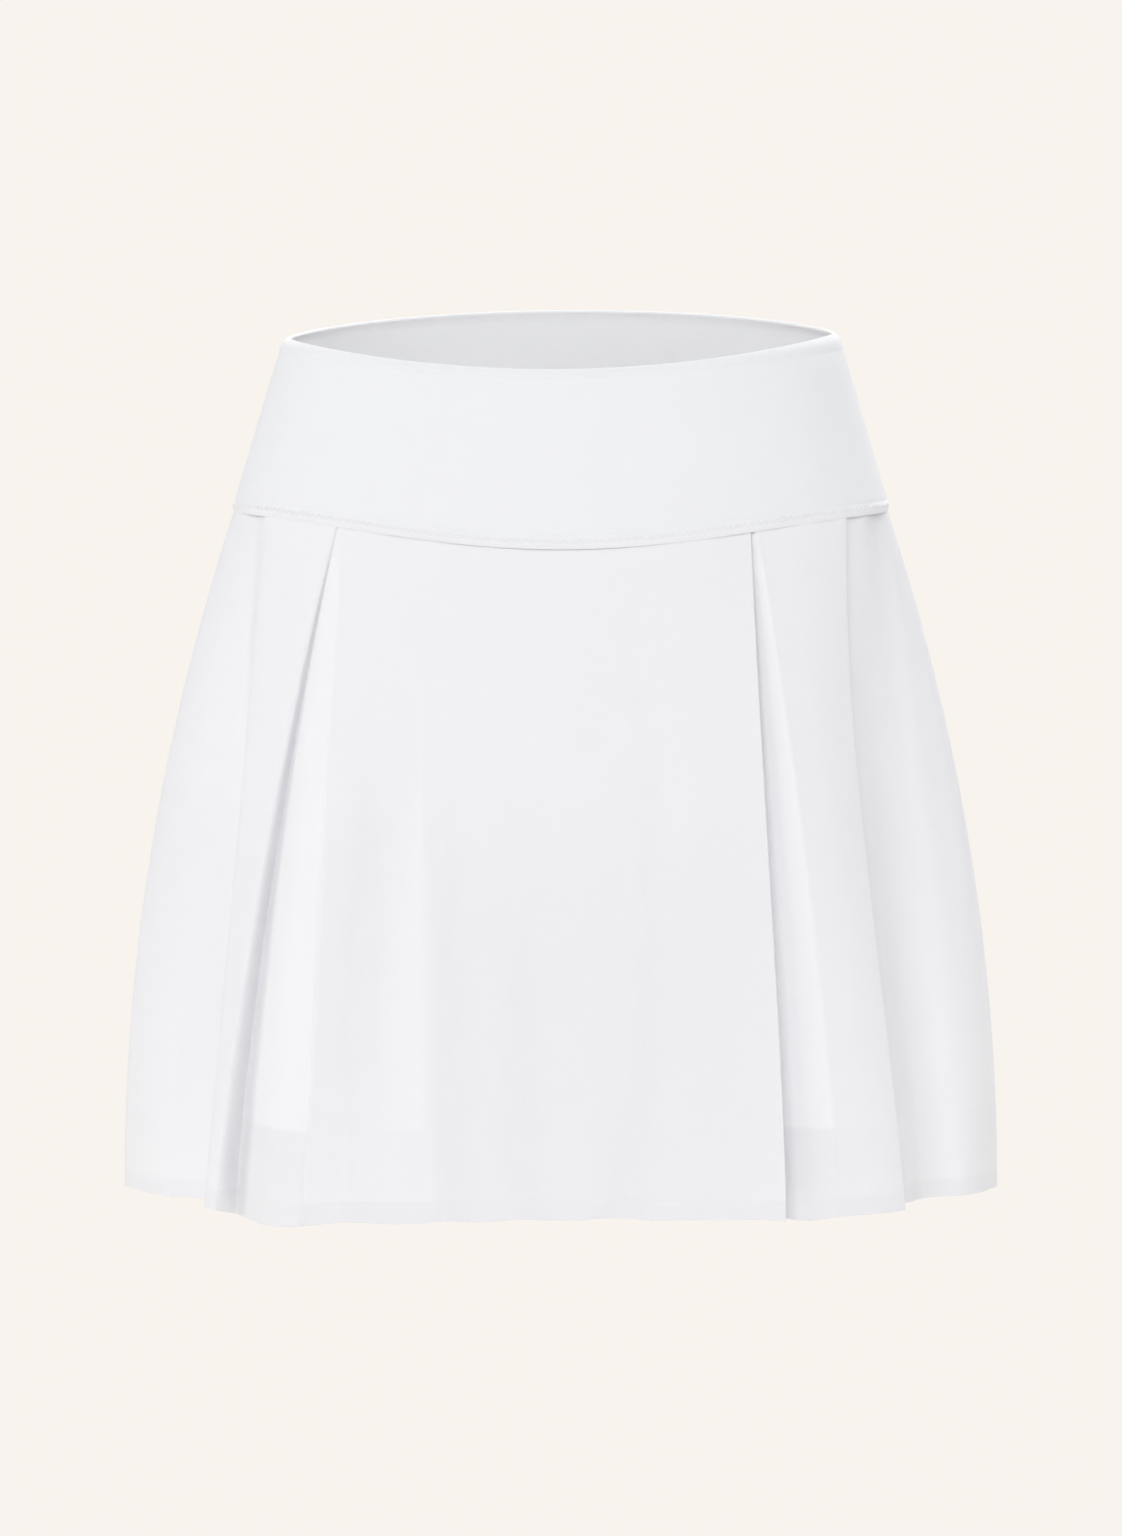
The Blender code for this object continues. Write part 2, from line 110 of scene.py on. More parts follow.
SIDE_SEAM = Ridge(0.0, 1.3, -0.9)
SIDE_CALM = 12.0  # the creases fade out over this much at the side seams
CREASE_RISE = 0.35  # share of a crease over which it starts
CREASE_FALL = 0.55  # and after which it ends, if it ends above the hem
TOP_PUCKERS = Puckers(11, 60, 16.0, 0.22)
HEM_PUCKERS = Puckers(21, 36, 9.0, 0.3)
# Painted show-through light: the skirt is painted paler where the shorts lie behind its thin cloth
SHOW_THROUGH_START = 0.06  # share of the height over which full painted show-through light fades in
SHOW_THROUGH_FADE = 1.6  # and more for weak painted show-through light
HIP_SHOW_THROUGH = 0.38  # painted show-through light from the hips of the shorts behind the top of the skirt
HIP_SHOW_THROUGH_FADE = (0.30, 0.62)
WEAK_SHOW_THROUGH = 1.6
LEG_EDGE_BLUR = 1.5
HEM_EDGE_BLUR = 0.6

# Shorts
SHORTS_HEM = Hem(0.8, 18.0, 0.5, 0.6, 0.05)
SHORTS_RISE = 12.0
SHORTS_INSET = 3.15  # their middle lies this far inside the band's outer surface
SHORTS_HALF_COLUMNS = 90
SHORTS_ROW_PITCH = 3.0
SHORTS_HEM_FINENESS = 3
LEG_CROWDING = 1.4
CROTCH_STEPS = 5
DRAG_HEIGHT = 0.5
DRAG_PITCH = (9.0, 21.0)  # down the cloth and across it, for each radian of the drag lines
DRAG_PLACE = 30.0  # of their middle, from the seam
DRAG_REACH = 34.0
SHORTS_SEAM = Ridge(0.0, 1.4, -0.5)
HEM_STITCH_GROOVE = Ridge(0.0, 0.8, -0.1)

# A fold is one line down the cloth: sideways place at the seam and at the hem, set back behind the outer
# surface at the seam, depth at the hem, ease (above 1 moves sooner), show-through strength (how far the shorts
# show through it, 0 to 1, as painted light that makes the cloth paler), bow (sideways shift a third of the way
# down), and wave (extra depth low down). Where the cloth is pressed back to the inside there are also the
# edge's radius at the seam and at the hem, and its heading at the hem.
Fold = namedtuple(
    "Fold",
    "name x_seam x_hem set_back depth_hem ease backed bow wave r_seam r_hem heading",
    defaults=[0, 0, 0, 0, 0, 0],
)

FRONT_FOLDS = [
    ("left side seam", -147, -196.8, 0, 0, 2, 0.4),
    ("left side", -146, -190.5, 0, 17, 2, 0.4),
    ("left side ridge", -143.8, -175.5, 0, 39, 1.8, 0.4),
    ("left side turn", -140.8, -159, 0.5, 46.5, 1.9, 0.4),
    ("left side valley", -136.5, -149, 1.3, 50.5, 1.2, 0.3),
    ("left flap roll", -133.6, -151.5, 0.9, 62, 1.1, 0.2),
    ("left flap edge", -130.5, -158, 0, 73, 1, 0.2),
    ("left flap", -117, -156.5, 0, 78, 1.1, 0.2),
    ("left flap shoulder", -99.5, -152.4, 0, 81.3, 1.25, 0.2, -1.8),
    ("left valley side", -99.4, -148.2, 0.35, 76, 1.22, 0.3, -2.4),
    ("left valley", -99, -144.4, 0.6, 71, 1.3, 0.6, -1.8),
    ("left underlay side", -98.7, -141.5, 0.3, 76.8, 1.26, 0.9, -2.2),
    ("left underlay rise", -98.4, -137.6, 0.1, 90.5, 1.2, 1, -3),
    ("left underlay", -97.8, -128.5, 0.1, 111.5, 1.15, 1, -2.4),
    ("left panel crease side", -97.3, -115, 0, 127.4, 1, 1),
    ("left panel crease", -96.9, -113.7, 0, 129.6, 1, 1),
    ("left panel groove", -95.2, -111.6, 0.15, 129.2, 1, 0.3),
    ("panel 1", -84, -98, 0, 127, 1, 0.25),
    ("panel 2", -62, -62, 0, 124, 1, 0.8, 0, -1.5),
    ("panel 3", -53, -53, 0, 123.4, 1, 0, 0, -2.5),
    ("panel 4", -30, -34, 0, 123, 1, 0, 0, 1),
    ("panel 5", -16, -19, 0, 123, 1, 0, 0, -2),
    ("panel 6", 3, 2, 0, 123, 1, 0, 0, 1),
    ("panel 7", 26, 23, 0, 123, 1, 0, 0, -3.5),
    ("panel 8", 44, 45, 0, 123, 1, 0, 0, 1),
    ("panel 9", 62, 70, 0, 122, 1),
    ("right panel fold", 84, 98.4, 1, 118, 1.3, 0.3, -1.1, 0, 0.6, 0.8, 12),
    ("right panel tuck", 77, 92.5, 2.2, 106, 1.3, 1, -1.1, 0, 0.5, 1.2, 8),
    ("right underlay", 84.5, 104, 2, 106, 1.1, 1),
    ("right underlay rise", 85.6, 112, 0.7, 110, 1.2, 1),
    ("right flap crease", 86.8, 121.5, 0, 111, 1.35, 1),
    ("right flap groove", 88, 123.3, 0.2, 109.8, 1.35, 0.65),
    ("right flap", 106, 138.5, 0, 101.5, 1.1, 0.5, -1),
    ("right flap turn", 122, 147.6, 0, 94.5, 1, 0.5, -4),
    ("right flap edge", 127, 151.7, 0.3, 89, 1, 0.5, -5, 0, 0.35, 0.6, 40),
    ("right side tuck", 125, 146.5, 1.2, 68, 1, 0.4, -4.8, 0, 0.3, 0.8, 36),
    ("right side step", 131, 154.4, 1.3, 62, 1, 0.3, -4.4),
    ("right side floor", 136, 160.5, 0.9, 48.5, 1.1, 0.5, -3.6),
    ("right side groove", 143.2, 169, 2.2, 41.5, 1.2, 0.5),
    ("right side ridge", 145.4, 179, 0.1, 37.5, 1.4, 0.5),
    ("right side shoulder", 146, 186.5, 0, 29, 1.6, 0.6),
    ("right side", 146.6, 192, 0, 16.5, 2, 0.6),
    ("right side seam", 147, 196.8, 0, 0, 2, 0.6),
]

BACK_FOLDS = [
    ("left side seam", -147, -196.8, 0, 0, 2),
    ("left side", -144.8, -189, 0, 18, 2),
    ("left side ridge", -139, -171, 0, 37, 1.9),
    ("left side valley", -132.6, -152, 2, 48, 1.3),
    ("left flap edge", -127, -154, 0, 72, 1.1),
    ("left flap", -112, -143, 0, 87, 1.1),
    ("left flap shoulder", -94.4, -134, 0, 93.5, 1.25, 0, -0.8),
    ("left valley side", -94, -130.5, 0.4, 89.5, 1.1, 0, -1.6),
    ("left valley", -93.7, -126.6, 0.8, 84, 1.06, 0, -2),
    ("left underlay side", -93.4, -123.4, 0.4, 89, 1.06, 0, -1.8),
    ("left underlay rise", -93, -119, 0.1, 97.5, 1.14),
    ("left underlay", -92.6, -112, 0.1, 110, 1.15),
    ("left panel crease side", -92.2, -106, 0, 118.2, 1),
    ("left panel crease", -91.8, -104.6, 0, 120.2, 1),
    ("left panel groove", -90.6, -103, 0.25, 119.9, 1),
    ("panel 1", -72, -82, 0, 121, 1),
    ("panel 2", -46, -52, 0, 122, 1, 0, 0, -3),
    ("panel 3", -24, -28, 0, 123, 1, 0, 0, 1),
    ("panel 4", 0, 0, 0, 123, 1, 0, 0, -2.5),
    ("panel 5", 25, 27, 0, 123, 1, 0, 0, 1.5),
    ("panel 6", 47, 54, 0, 122, 1, 0, 0, -3.5),
    ("panel 7", 72, 82, 0, 121, 1),
    ("right panel fold", 91.2, 106, 0.6, 118, 1.2, 0, -1.1, 0, 0.6, 0.8, 10),
    ("right panel tuck", 84.5, 99.5, 2.2, 107, 1.2, 0, -1.1, 0, 0.5, 1.2, 8),
    ("right underlay", 92, 111, 2, 105, 1.1),
    ("right underlay rise", 93, 119, 0.7, 103.5, 1.2),
    ("right flap crease", 94.2, 127.5, 0, 100.5, 1.3),
    ("right flap groove", 95.6, 129.2, 0.2, 99.2, 1.3),
    ("right flap", 112, 142, 0, 87, 1.1),
    ("right flap edge", 127, 155, 0, 71, 1.1),
    ("right side valley", 132.6, 153, 2, 49, 1.3),
    ("right side ridge", 139, 172, 0, 36, 1.9),
    ("right side", 144.8, 189, 0, 18, 2),
    ("right side seam", 147, 196.8, 0, 0, 2),
]

FOLDS = named_rows(Fold, FRONT_FOLDS, BACK_FOLDS)

# Beside a section's points: of each span, whether it lies on a pressed edge and whether it comes before them
# all, and of each point how far the shorts show through there, as painted light
Section = namedtuple("Section", "on_edge before_edges backed")

# A soft crease of the middle panel, before the pressed edges. Its top and foot are shares of the way from the
# waist seam to the hem, its angles are round the skirt's axis from its centre line, and a trough's height is
# negative.
Crease = namedtuple("Crease", "name t_top t_foot a_top a_middle a_foot width_top width_foot height")

FRONT_CREASES = [
    ("long trough", 0.08, 1.04, 12.5, 17.6, 10.9, 7, 9, -3.6),
    ("ridge beside it", 0.30, 1.04, 22, 23, 17, 8, 9, 0.8),
    ("middle trough", 0.52, 1.04, -9.0, -8.6, -7.6, 5, 7, -2.8),
    ("left trough", 0.32, 1.04, -24.5, -23, -21.9, 6, 7, -3.0),
    ("left edge trough", 0.25, 1.04, -39, -37.4, -35.6, 7, 8.5, -6.5),
    ("short middle crease", 0.15, 0.42, -5, -4, -4, 5, 6, -0.6),
    ("drag from the right pleat", 0.04, 0.32, 34, 38, 38.6, 3, 5, -0.6),
    ("drag from the left pleat", 0.04, 0.30, -36, -33, -31, 3, 6, -0.5),
    ("right edge ridge", 0.55, 1.04, 37, 36.8, 36.5, 5, 7, 0.7),
]

BACK_CREASES = [
    ("long trough", 0.12, 1.04, -15, -18, -13, 7, 9, -2.6),
    ("ridge beside it", 0.35, 1.04, -24, -24, -19, 7, 9, 0.9),
    ("middle trough", 0.45, 1.04, 4, 5, 3.5, 5, 7, -1.9),
    ("right trough", 0.30, 1.04, 22, 24, 20, 6, 8, -2.4),
    ("drag from the right pleat", 0.04, 0.32, 35, 32, 29, 3, 5, -0.6),
    ("drag from the left pleat", 0.04, 0.30, -37, -34, -32, 3, 6, -0.5),
]

CREASES = named_rows(Crease, FRONT_CREASES, BACK_CREASES)

# The hem hangs lower by this much round a sideways place.
HemDroop = namedtuple("HemDroop", "name place spread drop")

HEM_DROOPS = named_rows(
    HemDroop,
    [
        ("left underlay", -130, 17, 3.8),
        ("left valley", -144.5, 6, 1.8),
        ("right underlay", 106, 10, 2.4),
        ("left half of the panel", -72, 42, 1.7),
    ],
    [
        ("left underlay", -119, 15, 3.0),
        ("right underlay", 118, 10, 1.6),
        ("middle of the panel", 12, 36, 0.9),
    ],
)

# A soft dent or swelling of the waistband: angle from +X round the band, drop below the rim, spread along and
# down, and height.
Dent = namedtuple("Dent", "name angle drop spread_along spread_down height")

BAND_DENTS = named_rows(
    Dent,
    [
        ("right hip", 24, 40, 14, 26, -0.6),
        ("right swelling", 38, 46, 16, 24, 0.35),
        ("left hip", 158, 52, 16, 22, -0.4),
        ("belly", 96, 52, 60, 26, 0.5),
        ("left of the middle", 122, 26, 30, 16, -0.3),
    ],
    [
        ("right hip", 24, 44, 16, 26, -0.5),
        ("left hip", 156, 40, 14, 24, -0.5),
        ("small of the back", 88, 40, 60, 24, -0.5),
    ],
)

# Sections of the shorts: an oval round both hips, whose height bends to the middle, and one round a leg
HipLevel = namedtuple("HipLevel", "z_side z_middle half_width half_depth fullness")
LegLevel = namedtuple("LegLevel", "z middle half_width half_depth")

HIP_LEVELS = [
    HipLevel(-79.0, -84.0, 141.0, 91.0, 2.0),
    HipLevel(-125.0, -128.0, 143.5, 93.5, 2.05),
    HipLevel(-168.0, -168.0, 147.0, 95.0, 2.15),
    HipLevel(-205.0, -205.0, 149.5, 95.5, 2.3),
]

LEG_LEVELS = [
    LegLevel(-262.0, 76.0, 75.3, 88.0),
    LegLevel(-288.0, 84.0, 68.0, 85.0),
    LegLevel(-317.0, 89.0, 63.5, 82.0),
    LegLevel(-345.0, 92.0, 60.5, 80.0),
]

# Stitching
THREAD_RADIUS = 0.2
THREAD_GIRTH = (0.25, 0.9, 1.0, 0.9, 0.25)  # shares of the radius along a stitch
THREAD_SIDES = 6
THREAD_RISE = 1.5  # of the middle of a stitch, in radii
COVER_STITCH_STEP = 1.7
COVER_STITCH_ROWS = (2.4, 4.8)  # above the band's lower edge
COVER_STITCH_LIFT = 0.3  # off the cloth, in radii
COVER_STITCH_MARGIN = 3.0  # from the side seams
COVER_STITCH_NORMALS = -12  # the row of the band's grid whose normals it stands on
HEM_STITCH_STEP = 2.6
HEM_STITCH_LENGTH = 2.0
HEM_STITCH_ROWS = (13.0, 16.0)  # above the leg's edge
HEM_STITCH_MARGIN = 2.0
HEM_STITCH_NORMALS = -8  # and this one of the leg's grid
TACK_PLACE = 105.8  # sideways, of the bar that ends the stitch over the right flap
TACK_STEP = 0.45
TACK_STITCHES = 7

# A cloth's colour, yarns in a metre, height of its ribs, unevenness, depth of its bump, and sheen
Cloth = namedtuple("Cloth", "name colour yarns rib unevenness bump sheen")
BAND_KNIT = Cloth("Band knit", (0.915, 0.919, 0.938), 2300.0, 0.5, 0.02, 0.12, 0.2)
SHORTS_KNIT = Cloth("Shorts knit", (0.90, 0.905, 0.915), 2600.0, 0.6, 0.02, 0.12, 0.2)
THREAD = Cloth("Thread", (0.88, 0.88, 0.885), 9000.0, 0.3, 0.01, 0.02, 0.1)
SKIRT_WEAVE = Cloth("Skirt weave", (0.893, 0.895, 0.918), 3400.0, 0.25, 0.03, 0.10, 0.15)
# Paler colour painted where the shorts lie behind the skirt's thin cloth: painted show-through light
SHOW_THROUGH_LIGHT_COLOUR = (0.943, 0.944, 0.965)
HEM_COLOUR = (0.888, 0.890, 0.912)
CLOTH_ROUGHNESS = 0.82
CLOTH_SPECULAR = 0.25
SHEEN_ROUGHNESS = 0.45
BUMP_STRENGTH = 0.6
CROWNS_DOWN = 0.8  # yarn crowns down the cloth for one across
FUZZ = 0.8
BROAD_SHARE = 0.6  # of the broad noise in the unevenness; the rest is fine
Grain = namedtuple("Grain", "scale detail")
FUZZ_GRAIN = Grain(1400.0, 3.0)
BROAD_GRAIN = Grain(38.0, 4.0)
FINE_GRAIN = Grain(260.0, 2.0)
SHARP_ANGLE = 55.0

# Cut of each piece as far as it shows: widest width, longest length and flat area, in metres
Cut = namedtuple("Cut", "width length area")

# Camera, floor and lamps, in metres and degrees
CAMERA_DISTANCE = 4.0
CAMERA_ELEVATION = 4.5
CAMERA_TARGET = (0.0, 0.0, -0.195)
VIEW_HEIGHT = 0.6912
SENSOR_SIZE = 36.0

BACKDROP_COLOUR = (0.947, 0.896, 0.855)
FLOOR_Z = -0.95
FLOOR_RADIUS = 1.2
FLOOR_SIDES = 96
FLOOR_ROUGHNESS = 0.9

# Light of the studio from straight below and from straight above
LIGHT_BELOW = (0.475, 0.489, 0.52)
LIGHT_ABOVE = (0.668, 0.664, 0.645)

Lamp = namedtuple("Lamp", "name place size watts colour")

LAMPS = [
    Lamp("Key lamp", (-0.7, -3.2, 1.5), 1.8, 48.0, (0.97, 0.975, 1.0)),
    Lamp("Left lamp", (-3.2, -1.2, 0.2), 2.0, 6.0, (1.0, 0.97, 1.0)),
    Lamp("Right lamp", (3.2, -1.2, 0.6), 2.0, 20.0, (0.975, 0.985, 1.0)),
    Lamp("Left back lamp", (-3.3, 0.5, 0.3), 2.0, 17.0, (0.99, 1.0, 0.96)),
    Lamp("Back lamp", (0.7, 2.4, 2.2), 1.6, 86.0, (1.0, 0.995, 0.98)),
]


# ---- numbers

def smooth_step(x, low, high):
    """0 below low, 1 above high, and 3 s^2 - 2 s^3 of the share s between them."""
    s = np.clip((x - low) / (high - low), 0.0, 1.0)
    return s * s * (3.0 - 2.0 * s)


def bell(distance, width):
    """exp(-(distance / width)^2)."""
    return np.exp(-((distance / width) ** 2))


def settle(t, ease):
    """Share of the way from seam to hem at height t: 1 - (1 - t)^ease."""
    return 1.0 - (1.0 - t) ** ease


def between(a, b, share):
    """a + (b - a) * share."""
    return a + (b - a) * share


def oval_depth(x, half_width, half_depth):
    """Distance from the middle plane of an oval, at a sideways place."""
    return half_depth * np.sqrt(np.maximum(0.0, 1.0 - (x / half_width) ** 2))


def arc_lengths(grid, axis):
    """Lengths run along the rows or the columns of a grid, from its first one."""
    steps = np.linalg.norm(np.diff(grid, axis=axis), axis=2)
    start = np.zeros_like(np.take(steps, [0], axis=axis))
    return np.concatenate([start, np.cumsum(steps, axis=axis)], axis=axis)


def face_normals(grid, outward):
    """Unit normals: down the rows crossed with along the columns, outward +1 or -1."""
    normal = np.cross(np.gradient(grid, axis=0), np.gradient(grid, axis=1)) * outward
    return normal / np.linalg.norm(normal, axis=2, keepdims=True)


def cloth_runs(grid):
    """Lengths run across and down a grid, up from its last row, and in from the nearer side edge."""
    across, down = arc_lengths(grid, 1), arc_lengths(grid, 0)
    return across, down, down[-1:] - down, np.minimum(across, across[:, -1:] - across)


def ridge_relief(ridge, distance, to_middle=0.0):
    """Height of a soft line at a distance from its edge: a bell, higher by the share to_middle."""
    return (ridge.height + ridge.middle * to_middle) * bell(distance - ridge.place, ridge.width)


def round_edge(distance, nose, blunt):
    """Share of the wall near a rounded edge: sqrt(1 - (1 - s)^2), where s is the share of the nose."""
    s = np.clip(distance / nose, 0.0, 1.0)
    return np.sqrt(np.clip(1.0 - (1.0 - s) ** 2, blunt, 1.0))


def hemmed_wall(grid, normal, relief, to_hem, hem):
    """Face and inner grids round a middle surface, rounded at the hem and thicker where it is turned up."""
    share = round_edge(to_hem, hem.wall / 2, hem.blunt)
    turned_up = hem.layer * (1.0 - smooth_step(to_hem, hem.height - hem.fade, hem.height + hem.fade))
    face = grid + normal * (relief + hem.wall / 2 * share)[..., None]
    return face, grid + normal * (relief - (hem.wall / 2 + turned_up) * share)[..., None]


def catmull_rom(points, span, share):
    """Centripetal Catmull-Rom curves through rows of points (curves x points x dimensions), read at a share
    of a span: neighbours are blended three times, each time between two knots. The first and last points only
    steer the ends."""
    steps = np.sqrt(np.linalg.norm(np.diff(points, axis=1), axis=2))
    knots = np.concatenate([np.zeros((len(points), 1)), np.cumsum(steps, axis=1)], axis=1)
    k = [knots[:, span + i][..., None] for i in range(4)]
    p = [points[:, span + i] for i in range(4)]
    u = between(k[1], k[2], share[None, :, None])
    for ends in (((0, 1), (1, 2), (2, 3)), ((0, 2), (1, 3)), ((1, 2),)):
        p = [between(p[i], p[i + 1], (u - k[a]) / (k[b] - k[a])) for i, (a, b) in enumerate(ends)]
    return p[0]


def spans_and_shares(counts):
    """For so many steps in each span: the span that each point of a curve lies in, and its share of it."""
    span = np.repeat(np.arange(len(counts)), counts)
    first = np.repeat(np.cumsum(counts) - counts, counts)
    share = (np.arange(len(span)) - first + 1) / np.repeat(counts, counts)
    return np.concatenate([[0], span]), np.concatenate([[0.0], share])


def edge_rows(length, pitch, from_top, from_foot):
    """Distances from 0 to length at an even pitch, with closer ones at the places of fine rows."""
    fine = from_top + [(length - up, reach, step) for up, reach, step in from_foot]
    rows = [np.linspace(0.0, length, int(round(length / pitch)) + 1)]
    rows += [np.arange(at - reach, at + reach + step / 2, step) for at, reach, step in fine]
    rows = np.unique(np.round(np.clip(np.concatenate(rows), 0.0, length), 3))
    return rows[np.concatenate([[True], np.diff(rows) > LEAST_ROW_STEP])]


# ---- waist seam and skirt

def forward_of(side):
    """The sign of Y on a side of the skirt, and minus the sign that turns a grid's normals outward there."""
    return -1.0 if side == "front" else 1.0


def seam_lift(side, share):
    """Rise of the waist seam from its height at the hips: the front dips, the back rises a little, and the
    share is 0 at the hips and 1 in the middle."""
    return SEAM_LIFT[side] * share ** SEAM_LIFT_POWER[side]


def seam_height(side, x):
    """Height of the waist seam at a sideways place."""
    return -BAND_SIDE_HEIGHT + seam_lift(side, oval_depth(x, SEAM_HALF_WIDTH, 1.0))


def turned_edge(tip, heading, travel, radius):
    """Half circles round a pressed edge, one for each height, whose outermost points are the tips."""
    along = travel * heading
    inward = np.stack([heading[:, 1], -heading[:, 0]], axis=1)
    centre = tip - along * radius[:, None]
    angle = np.linspace(0.0, math.pi, TURN_STEPS + 1)[None, :, None]
    swing = along[:, None] * np.sin(angle) - inward[:, None] * np.cos(angle)
    return centre[:, None] + radius[:, None, None] * swing


def section_points(side, t):
    """Plan points that the skirt's section passes through at each height t, with the pressed edges' half
    circles, and its Section."""
    folds = FOLDS[side]
    fold = Fold("all", *np.array([row[1:] for row in folds], float).T)
    half_depth = SEAM_HALF_DEPTH[side]
    set_back = fold.set_back + SOLID_WALL / 2
    x_top = fold.x_seam * (1.0 - set_back / SEAM_HALF_WIDTH)
    depth_top = oval_depth(fold.x_seam, SEAM_HALF_WIDTH, half_depth) * (1.0 - set_back / half_depth)
    down = t[:, None]
    x = between(x_top, fold.x_hem, settle(down, fold.ease))
    x = x + fold.bow * BOW_SCALE * down * (1.0 - down) ** 2
    depth = between(depth_top, fold.depth_hem, settle(down, DEPTH_EASE))
    tips = np.stack([x, depth + fold.wave * down**2], axis=-1)
    reach = np.sqrt(np.maximum(1e-6, SEAM_HALF_WIDTH**2 - fold.x_seam**2))
    seam_angle = np.arctan(half_depth / SEAM_HALF_WIDTH * fold.x_seam / reach)
    angle = between(seam_angle, np.radians(fold.heading), settle(down, DEPTH_EASE))
    headings = np.stack([np.cos(angle), -np.sin(angle)], axis=-1)
    blocks, on_edge, before_edges, backed = [], [], [], []
    travel, before = 1.0, True
    for i, row in enumerate(folds):
        if row.r_seam:
            radius = between(row.r_seam, row.r_hem, t)
            blocks.append(turned_edge(tips[:, i], headings[:, i], travel, radius))
            on_edge += [True] * TURN_STEPS + [False]
            before_edges += [before] * (TURN_STEPS // 2) + [False] * (TURN_STEPS - TURN_STEPS // 2 + 1)
            backed += [row.backed] * (TURN_STEPS + 1)
            travel, before = -travel, False
        else:
            blocks.append(tips[:, i : i + 1])
            on_edge.append(False)
            before_edges.append(before)
            backed.append(row.backed)
    section = Section(np.array(on_edge[:-1]), np.array(before_edges[:-1]), np.array(backed, float))
    return np.concatenate(blocks, axis=1), section


def skirt_middle(side):
    """The middle surface of one half of the skirt, with its top edge carried up behind the band's lip: (grid,
    heights t, which columns come before the pressed edges, how strong the painted show-through light of the
    shorts is on each column)."""
    ends, section = section_points(side, np.array([1.0, 0.0]))
    longest = np.linalg.norm(np.diff(ends, axis=1), axis=2).max(axis=0)
    counts = np.where(section.on_edge, 1, np.maximum(2, np.ceil(longest / COLUMN_PITCH))).astype(int)
    span, share = spans_and_shares(counts)
    length = -HEM_Z - BAND_SIDE_HEIGHT + SKIRT_LAP
    rows = edge_rows(length, ROW_PITCH, *SKIRT_FINE_ROWS)
    t = np.clip((rows - SKIRT_LAP) / (length - SKIRT_LAP), 0.0, 1.0)
    points, _ = section_points(side, t)
    mirror = np.array([1.0, -1.0])
    points = np.concatenate([points[:, 1:2] * mirror, points, points[:, -2:-1] * mirror], axis=1)
    plan = catmull_rom(points, span, share)
    z_top = seam_height(side, plan[0, :, 0]) + SKIRT_LAP
    droops = (droop.drop * bell(plan[-1, :, 0] - droop.place, droop.spread) for droop in HEM_DROOPS[side])
    z_foot = HEM_Z - sum(droops)
    z = between(z_top, z_foot, (rows / length)[:, None])
    from_middle = np.degrees(np.arctan2(plan[0, :, 0], plan[0, :, 1]))
    tuck = SKIRT_TUCK * (1.0 - smooth_step(rows, 0.0, SKIRT_TUCK_FADE))[:, None]
    sag = SKIRT_SAG[side] * (1.0 - smooth_step(rows, 0.0, SKIRT_SAG_FADE))[:, None]
    tuck = tuck + sag * bell(from_middle, SKIRT_SAG_REACH)
    x = plan[..., 0] * (1.0 - tuck / SEAM_HALF_WIDTH)
    depth = plan[..., 1] * (1.0 - tuck / SEAM_HALF_DEPTH[side])
    grid = np.stack([x, forward_of(side) * (depth + SEAM_GAP / 2), z], axis=-1)
    backed = between(section.backed[span], section.backed[span + 1], share)
    return grid, t, np.concatenate([[True], section.before_edges[span[1:]]]), backed


def crease_relief(side, grid, t, before_edges):
    """Sum of the soft creases: a bell across each one, whose line bends through three angles, faded at both
    ends."""
    angle = np.degrees(np.arctan2(grid[..., 0], np.abs(grid[..., 1])))
    radius = np.hypot(grid[..., 0], grid[..., 1])
    relief = np.zeros(grid.shape[:2])
    down = t[:, None]
    for crease in CREASES[side]:
        s = np.clip((down - crease.t_top) / (crease.t_foot - crease.t_top), 0.0, 1.0)
        bow = crease.a_middle - (crease.a_top + crease.a_foot) / 2
        line = between(crease.a_top, crease.a_foot, s) + 4.0 * bow * s * (1.0 - s)
        width = between(crease.width_top, crease.width_foot, s)
        across = np.radians(angle - line) * radius
        fade = smooth_step(s, 0.0, CREASE_RISE)
        if crease.t_foot < 1.0:
            fade = fade * (1.0 - smooth_step(s, CREASE_FALL, 1.0))
        relief += crease.height * bell(across, width) * fade * before_edges
    return relief


def pucker_relief(puckers, side, across, down):
    """Small puckers under a seam: bells at random places along it that run out down the cloth."""
    rng = np.random.default_rng(puckers.seed + (side == "back"))
    places = np.sort(rng.uniform(across.min(), across.max(), puckers.count))
    heights = rng.uniform(-1.0, 1.0, puckers.count) * puckers.height
    widths = rng.uniform(*PUCKER_WIDTHS, puckers.count)
    lengths = rng.uniform(*PUCKER_LENGTHS, puckers.count) * puckers.reach
    relief = np.zeros(across.shape)
    for place, height, width, length in zip(places, heights, widths, lengths):
        relief += height * bell(across - place, width) * bell(down, length)
    return relief


def skirt_cloth_grids(side):
    """Face and inner grids of one half of the skirt, its UVs in metres, and the share of painted show-through
    light from the shorts behind it.
    """
    grid, t, before_edges, backed = skirt_middle(side)
    normal = face_normals(grid, -forward_of(side))
    across, down, to_hem, to_side = cloth_runs(grid)
    relief = crease_relief(side, grid, t, before_edges)
    relief += pucker_relief(TOP_PUCKERS, side, across, down)
    relief *= smooth_step(down, 0.0, 2.0 * SKIRT_LAP)
    relief += pucker_relief(HEM_PUCKERS, side, across, to_hem)
    relief *= smooth_step(to_side, 0.0, SIDE_CALM)
    relief += ridge_relief(SIDE_SEAM, to_side)
    relief += ridge_relief(HEM_LINE, to_hem)
    face, inner = hemmed_wall(grid, normal, relief, to_hem, SKIRT_HEM)
    # Painted show-through light: each column's strength fades in down from the waist, and the shorts' hips give
    # some at the top
    starts = SHOW_THROUGH_START + SHOW_THROUGH_FADE * (1.0 - backed)
    hips = HIP_SHOW_THROUGH * (1.0 - smooth_step(t[:, None], *HIP_SHOW_THROUGH_FADE))
    show_through_light = np.maximum(backed * np.clip(t[:, None] / starts, 0.0, 1.0), hips)
    return face, inner, np.stack([across, down], axis=-1) * MM, show_through_light


